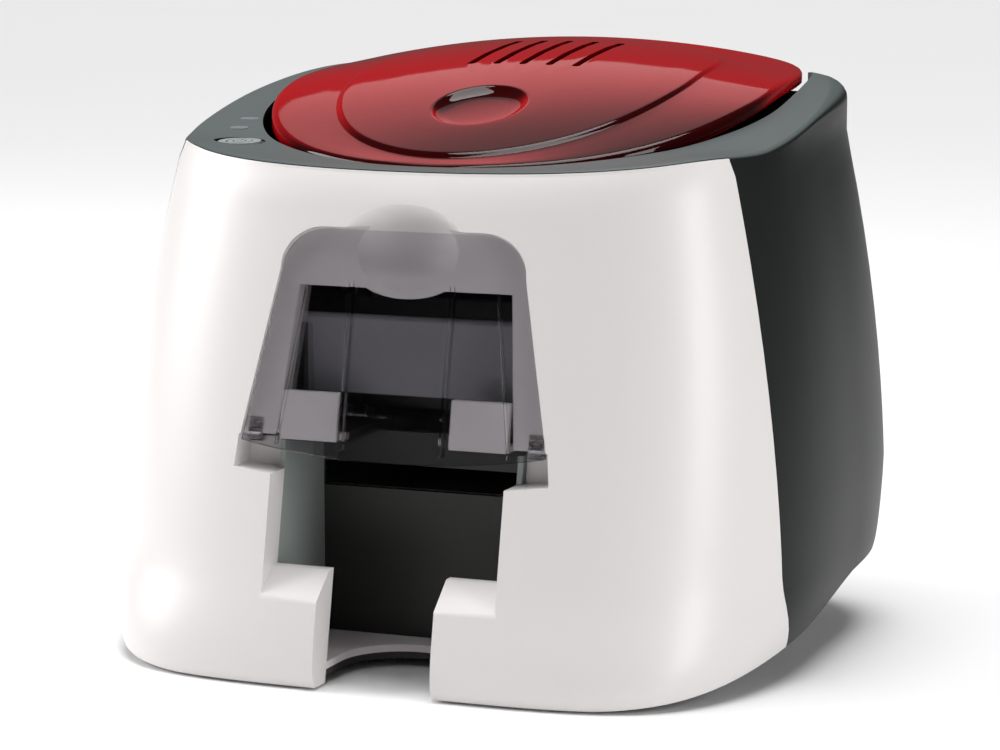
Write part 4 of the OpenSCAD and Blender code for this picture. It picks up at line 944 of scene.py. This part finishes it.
def rubber(tree, shader, place, spec):
    """Ground rubber tyre"""
    tone(tree, shader, wide_noise(tree, place, spec.scale), spec)
    relief(tree, shader, wide_noise(tree, place, 900, (0.3, 1, 1)), spec.grain, 0.0002)


def turned_metal(tree, shader, place, spec):
    """Shaft metal with fine rings round its axis, which lies across the machine"""
    rings = wide_noise(tree, place, spec.scale, (3, 0.15, 0.15), 2.0)
    tone(tree, shader, rings, spec)
    relief(tree, shader, rings, 0.08, 0.0001)


def rolled_metal(tree, shader, place, spec):
    """Sheet metal with a rolling grain from front to back"""
    lines = wide_noise(tree, place, spec.scale, (1, 0.08, 1.6), 3.0)
    tone(tree, shader, lines, spec)
    relief(tree, shader, lines, 0.06, 0.0001)


def board(tree, shader, place, spec):
    """Circuit board with faint tracks under its varnish"""
    tracks = tree.nodes.new("ShaderNodeTexVoronoi")
    tracks.distance = "CHEBYCHEV"
    tracks.feature = "DISTANCE_TO_EDGE"
    tracks.inputs["Scale"].default_value = spec.scale
    tree.links.new(place, tracks.inputs["Vector"])
    step = tree.nodes.new("ShaderNodeMapRange")
    step.inputs["From Max"].default_value = 0.08
    tree.links.new(tracks.outputs["Distance"], step.inputs["Value"])
    tone(tree, shader, step.outputs["Result"], spec)


def film(tree, shader, place, spec):
    """Dye film wound in bands across the machine"""
    bands = tree.nodes.new("ShaderNodeTexWave")
    bands.bands_direction = "Y"
    bands.inputs["Scale"].default_value = spec.scale
    bands.inputs["Distortion"].default_value = 0.3
    tree.links.new(place, bands.inputs["Vector"])
    tone(tree, shader, bands.outputs["Fac"], spec)


PATTERNS = {
    "moulded": moulded, "satin": satin, "painted_glancing_glow": painted_glancing_glow, "rubber": rubber, "turned": turned_metal,
    "rolled": rolled_metal, "board": board, "film": film}


# Studio

def lamp(name, kind, place, target, power):
    """Adds a light that points from its place at a target"""
    light = bpy.data.lights.new(name, kind)
    light.energy = power
    obj = bpy.data.objects.new(name, light)
    bpy.context.scene.collection.objects.link(obj)
    obj.location = place
    obj.rotation_mode = "QUATERNION"
    obj.rotation_quaternion = (Vector(target) - Vector(place)).to_track_quat("-Z", "Y")
    return light


def softbox(name, place, target, width, height, power):
    light = lamp(name, "AREA", place, target, power)
    light.shape = "RECTANGLE"
    light.size = width
    light.size_y = height


def direction(around, above):
    """Level turn from the front and climb, as a direction away from the printer"""
    level = math.cos(above)
    return Vector((math.sin(around) * level, -math.cos(around) * level, math.sin(above)))


def lights(studio):
    """Soft light from above, a round light for the lid, and a softbox on each side"""
    target, lid_place = Vector((0, 0, 0.12)), Vector((0, 0, 0.2))
    overhead = lamp("overhead", "SUN", (0, 0.2, 3), (0, 0, 0), studio.top_power)
    overhead.angle = math.radians(40)
    # A round light behind and above, which the lid mirrors as a broad ellipse
    away = direction(studio.view_around + math.pi, math.radians(41))
    halo = lamp("halo", "AREA", lid_place + away * 1.5, lid_place, studio.halo_power)
    halo.shape = "DISK"
    halo.size = 1.0
    softbox("left", (-1.45, -0.35, 0.7), target, 0.8, 0.9, studio.left_power)
    softbox("right", (1.35, -0.5, 0.45), target, 0.35, 0.8, studio.right_power)


def floor(tone_value):
    bm = bmesh.new()
    bmesh.ops.create_grid(bm, x_segments=1, y_segments=1, size=6)
    obj = piece("floor", bm)
    made = bpy.data.materials.new("floor_paper")
    made.use_nodes = True
    shader = made.node_tree.nodes["Principled BSDF"]
    place = made.node_tree.nodes.new("ShaderNodeTexCoord").outputs["Object"]
    paper = Finish((tone_value,) * 3, 0.75, tone=0.006, scale=3)
    tone(made.node_tree, shader, wide_noise(made.node_tree, place, paper.scale), paper)
    obj.data.materials.append(made)


def world(brightness):
    sky = bpy.data.worlds.new("studio")
    bpy.context.scene.world = sky
    sky.use_nodes = True
    background = sky.node_tree.nodes["Background"]
    background.inputs["Color"].default_value = (1, 1, 1, 1)
    # The backdrop shows white, and gives off only part of that as light
    path = sky.node_tree.nodes.new("ShaderNodeLightPath")
    strength = sky.node_tree.nodes.new("ShaderNodeMapRange")
    strength.inputs["To Min"].default_value = brightness
    strength.inputs["To Max"].default_value = 1.0
    sky.node_tree.links.new(path.outputs["Is Camera Ray"], strength.inputs["Value"])
    sky.node_tree.links.new(strength.outputs["Result"], background.inputs["Strength"])


def camera(studio):
    back = direction(studio.view_around, studio.view_above)
    lens = bpy.data.cameras.new("camera")
    lens.sensor_width = 36
    lens.lens = studio.view_lens
    lens.clip_start, lens.clip_end = 0.01, 50
    obj = bpy.data.objects.new("camera", lens)
    bpy.context.scene.collection.objects.link(obj)
    obj.location = Vector(studio.view_target) + back * studio.view_distance
    obj.rotation_mode = "QUATERNION"
    obj.rotation_quaternion = (-back).to_track_quat("-Z", "Y")
    bpy.context.scene.camera = obj


# Settings shown in the panel

def number(name, description, default, **more):
    return FloatProperty(name=name, description=description, default=default, **more)


def length(name, description, default, **more):
    """Property for a length, in metres"""
    return number(name, description, default, unit="LENGTH", **more)


class PrinterSizes(PropertyGroup):
    """Driving sizes of the housing and the lid"""

    body_width: length("Body width", "Width at the widest level", 0.266, min=0.2)
    rear_depth: length("Rear depth", "From the middle to the rear wall", 0.1114)
    front_depth: length("Front depth", "From the middle to the foot of the front wall", 0.11366)
    front_lean: number("Front lean", "Lean of the front wall for each unit of height", 0.206)
    deck_height: length("Deck height", "Height of the deck at its front edge", 0.177)
    deck_rise: length("Deck rise", "How much the deck climbs to the rear", 0.0265)
    wall: length("Wall", "Thickness of the housing", 0.0026)
    seam_gap: length("Seam gap", "Gap between the white front and the dark rear", 0.0003)
    seam_place: length("Seam place", "Front to back place of the colour seam", -0.0453)
    lid_half_width: length("Lid half width", "Half the width of the red lid", 0.095)
    lid_height: length("Lid height", "Height of the lid's crown", 0.214)
    rear_rounding: length("Rear rounding", "How much rounder the deck's edge gets to the rear", 0.0055)


class PrinterStudio(PropertyGroup):
    """Light, floor and camera"""

    top_power: number("Overhead light", "Strength of the broad light from above", 2.75)
    halo_power: number("Lid light", "Power of the round light that the lid mirrors", 1.5, unit="POWER")
    left_power: number("Left light", "Power of the soft light on the left", 20, unit="POWER")
    right_power: number("Right light", "Power of the soft light on the right", 8, unit="POWER")
    room_light: number("Room light", "Light given off by the white backdrop", 0.07)
    floor_tone: number("Floor tone", "Brightness of the floor paper", 0.93, max=1, subtype="FACTOR")
    view_around: number("View around", "Angle of the camera round the printer", math.radians(21.65),
                        subtype="ANGLE")
    view_above: number("View above", "Angle of the camera over the floor", math.radians(8.727),
                       subtype="ANGLE")
    view_distance: length("View distance", "From the camera to its target", 1.243374)
    view_lens: number("Lens", "Focal length in millimetres", 122.31)
    view_target: FloatVectorProperty(name="View target", description="Point that the camera looks at",
                                     size=3, default=(0.003407, 0.0, 0.095616), subtype="TRANSLATION")


# Operators

class PRINTER_OT_housing(Operator):
    """Moulds the white front shell and the dark rear shell"""

    bl_idname = "printer.housing"
    bl_label = "Housing"

    def execute(self, context):
        form = Form(context.scene.printer_sizes)
        finish_piece(front_shell(form), "front_shell", "housing")
        finish_piece(rear_shell(form), "rear_shell", "housing")
        return {"FINISHED"}


class PRINTER_OT_lid(Operator):
    """Moulds the red lid"""

    bl_idname = "printer.lid"
    bl_label = "Lid"

    def execute(self, context):
        finish_piece(top_lid(Form(context.scene.printer_sizes)), "top_lid", "lid")
        return {"FINISHED"}


class PRINTER_OT_cover(Operator):
    """Moulds the smoked feeder cover"""

    bl_idname = "printer.cover"
    bl_label = "Feeder cover"

    def execute(self, context):
        finish_piece(feeder_cover(Form(context.scene.printer_sizes)), "feeder_cover", "cover")
        return {"FINISHED"}


class PRINTER_OT_controls(Operator):
    """Makes the oval power button"""

    bl_idname = "printer.controls"
    bl_label = "Controls"

    def execute(self, context):
        obj = power_button(Form(context.scene.printer_sizes))
        finish_piece(obj, "power_button", "button", edge=0.3)
        return {"FINISHED"}


class PRINTER_OT_finishes(Operator):
    """Gives every solid of the frame its finish and shades its curves"""

    bl_idname = "printer.finishes"
    bl_label = "Finishes"

    def execute(self, context):
        for name, slot in SLOTS.items():
            obj = NODES[name]
            obj.data.materials.clear()
            obj.data.materials.append(finish(slot))
            for poly in obj.data.polygons:
                poly.use_smooth = True
            obj.data.set_sharp_from_angle(angle=math.radians(28))
            obj.modifiers.new("shading", "WEIGHTED_NORMAL").keep_sharp = True
        return {"FINISHED"}


class PRINTER_OT_studio(Operator):
    """Sets the floor, the lights and the camera"""

    bl_idname = "printer.studio"
    bl_label = "Studio"

    def execute(self, context):
        studio = context.scene.printer_studio
        floor(studio.floor_tone)
        world(studio.room_light)
        lights(studio)
        camera(studio)
        context.scene.view_settings.view_transform = "Standard"
        return {"FINISHED"}


class PRINTER_PT_looks(Panel):
    """Sizes, studio and the steps that dress the printer"""

    bl_label = "Card printer"
    bl_idname = "PRINTER_PT_looks"
    bl_space_type = "VIEW_3D"
    bl_region_type = "UI"
    bl_category = "Printer"

    def draw(self, context):
        layout = self.layout
        for group in (context.scene.printer_sizes, context.scene.printer_studio):
            for name in group.__annotations__:
                layout.prop(group, name)
        for step in STEPS:
            layout.operator(step.bl_idname)


STEPS = (PRINTER_OT_studio, PRINTER_OT_finishes, PRINTER_OT_housing, PRINTER_OT_lid, PRINTER_OT_cover,
         PRINTER_OT_controls)
CLASSES = (PrinterSizes, PrinterStudio, *STEPS, PRINTER_PT_looks)


def register():
    for cls in CLASSES:
        bpy.utils.register_class(cls)
    bpy.types.Scene.printer_sizes = PointerProperty(type=PrinterSizes)
    bpy.types.Scene.printer_studio = PointerProperty(type=PrinterStudio)


def unregister():
    del bpy.types.Scene.printer_studio
    del bpy.types.Scene.printer_sizes
    for cls in reversed(CLASSES):
        bpy.utils.unregister_class(cls)


def main():
    register()
    bpy.ops.printer.studio()
    bpy.ops.printer.finishes()
    bpy.ops.printer.housing()
    bpy.ops.printer.lid()
    bpy.ops.printer.cover()
    bpy.ops.printer.controls()


if __name__ == "__main__":
    main()
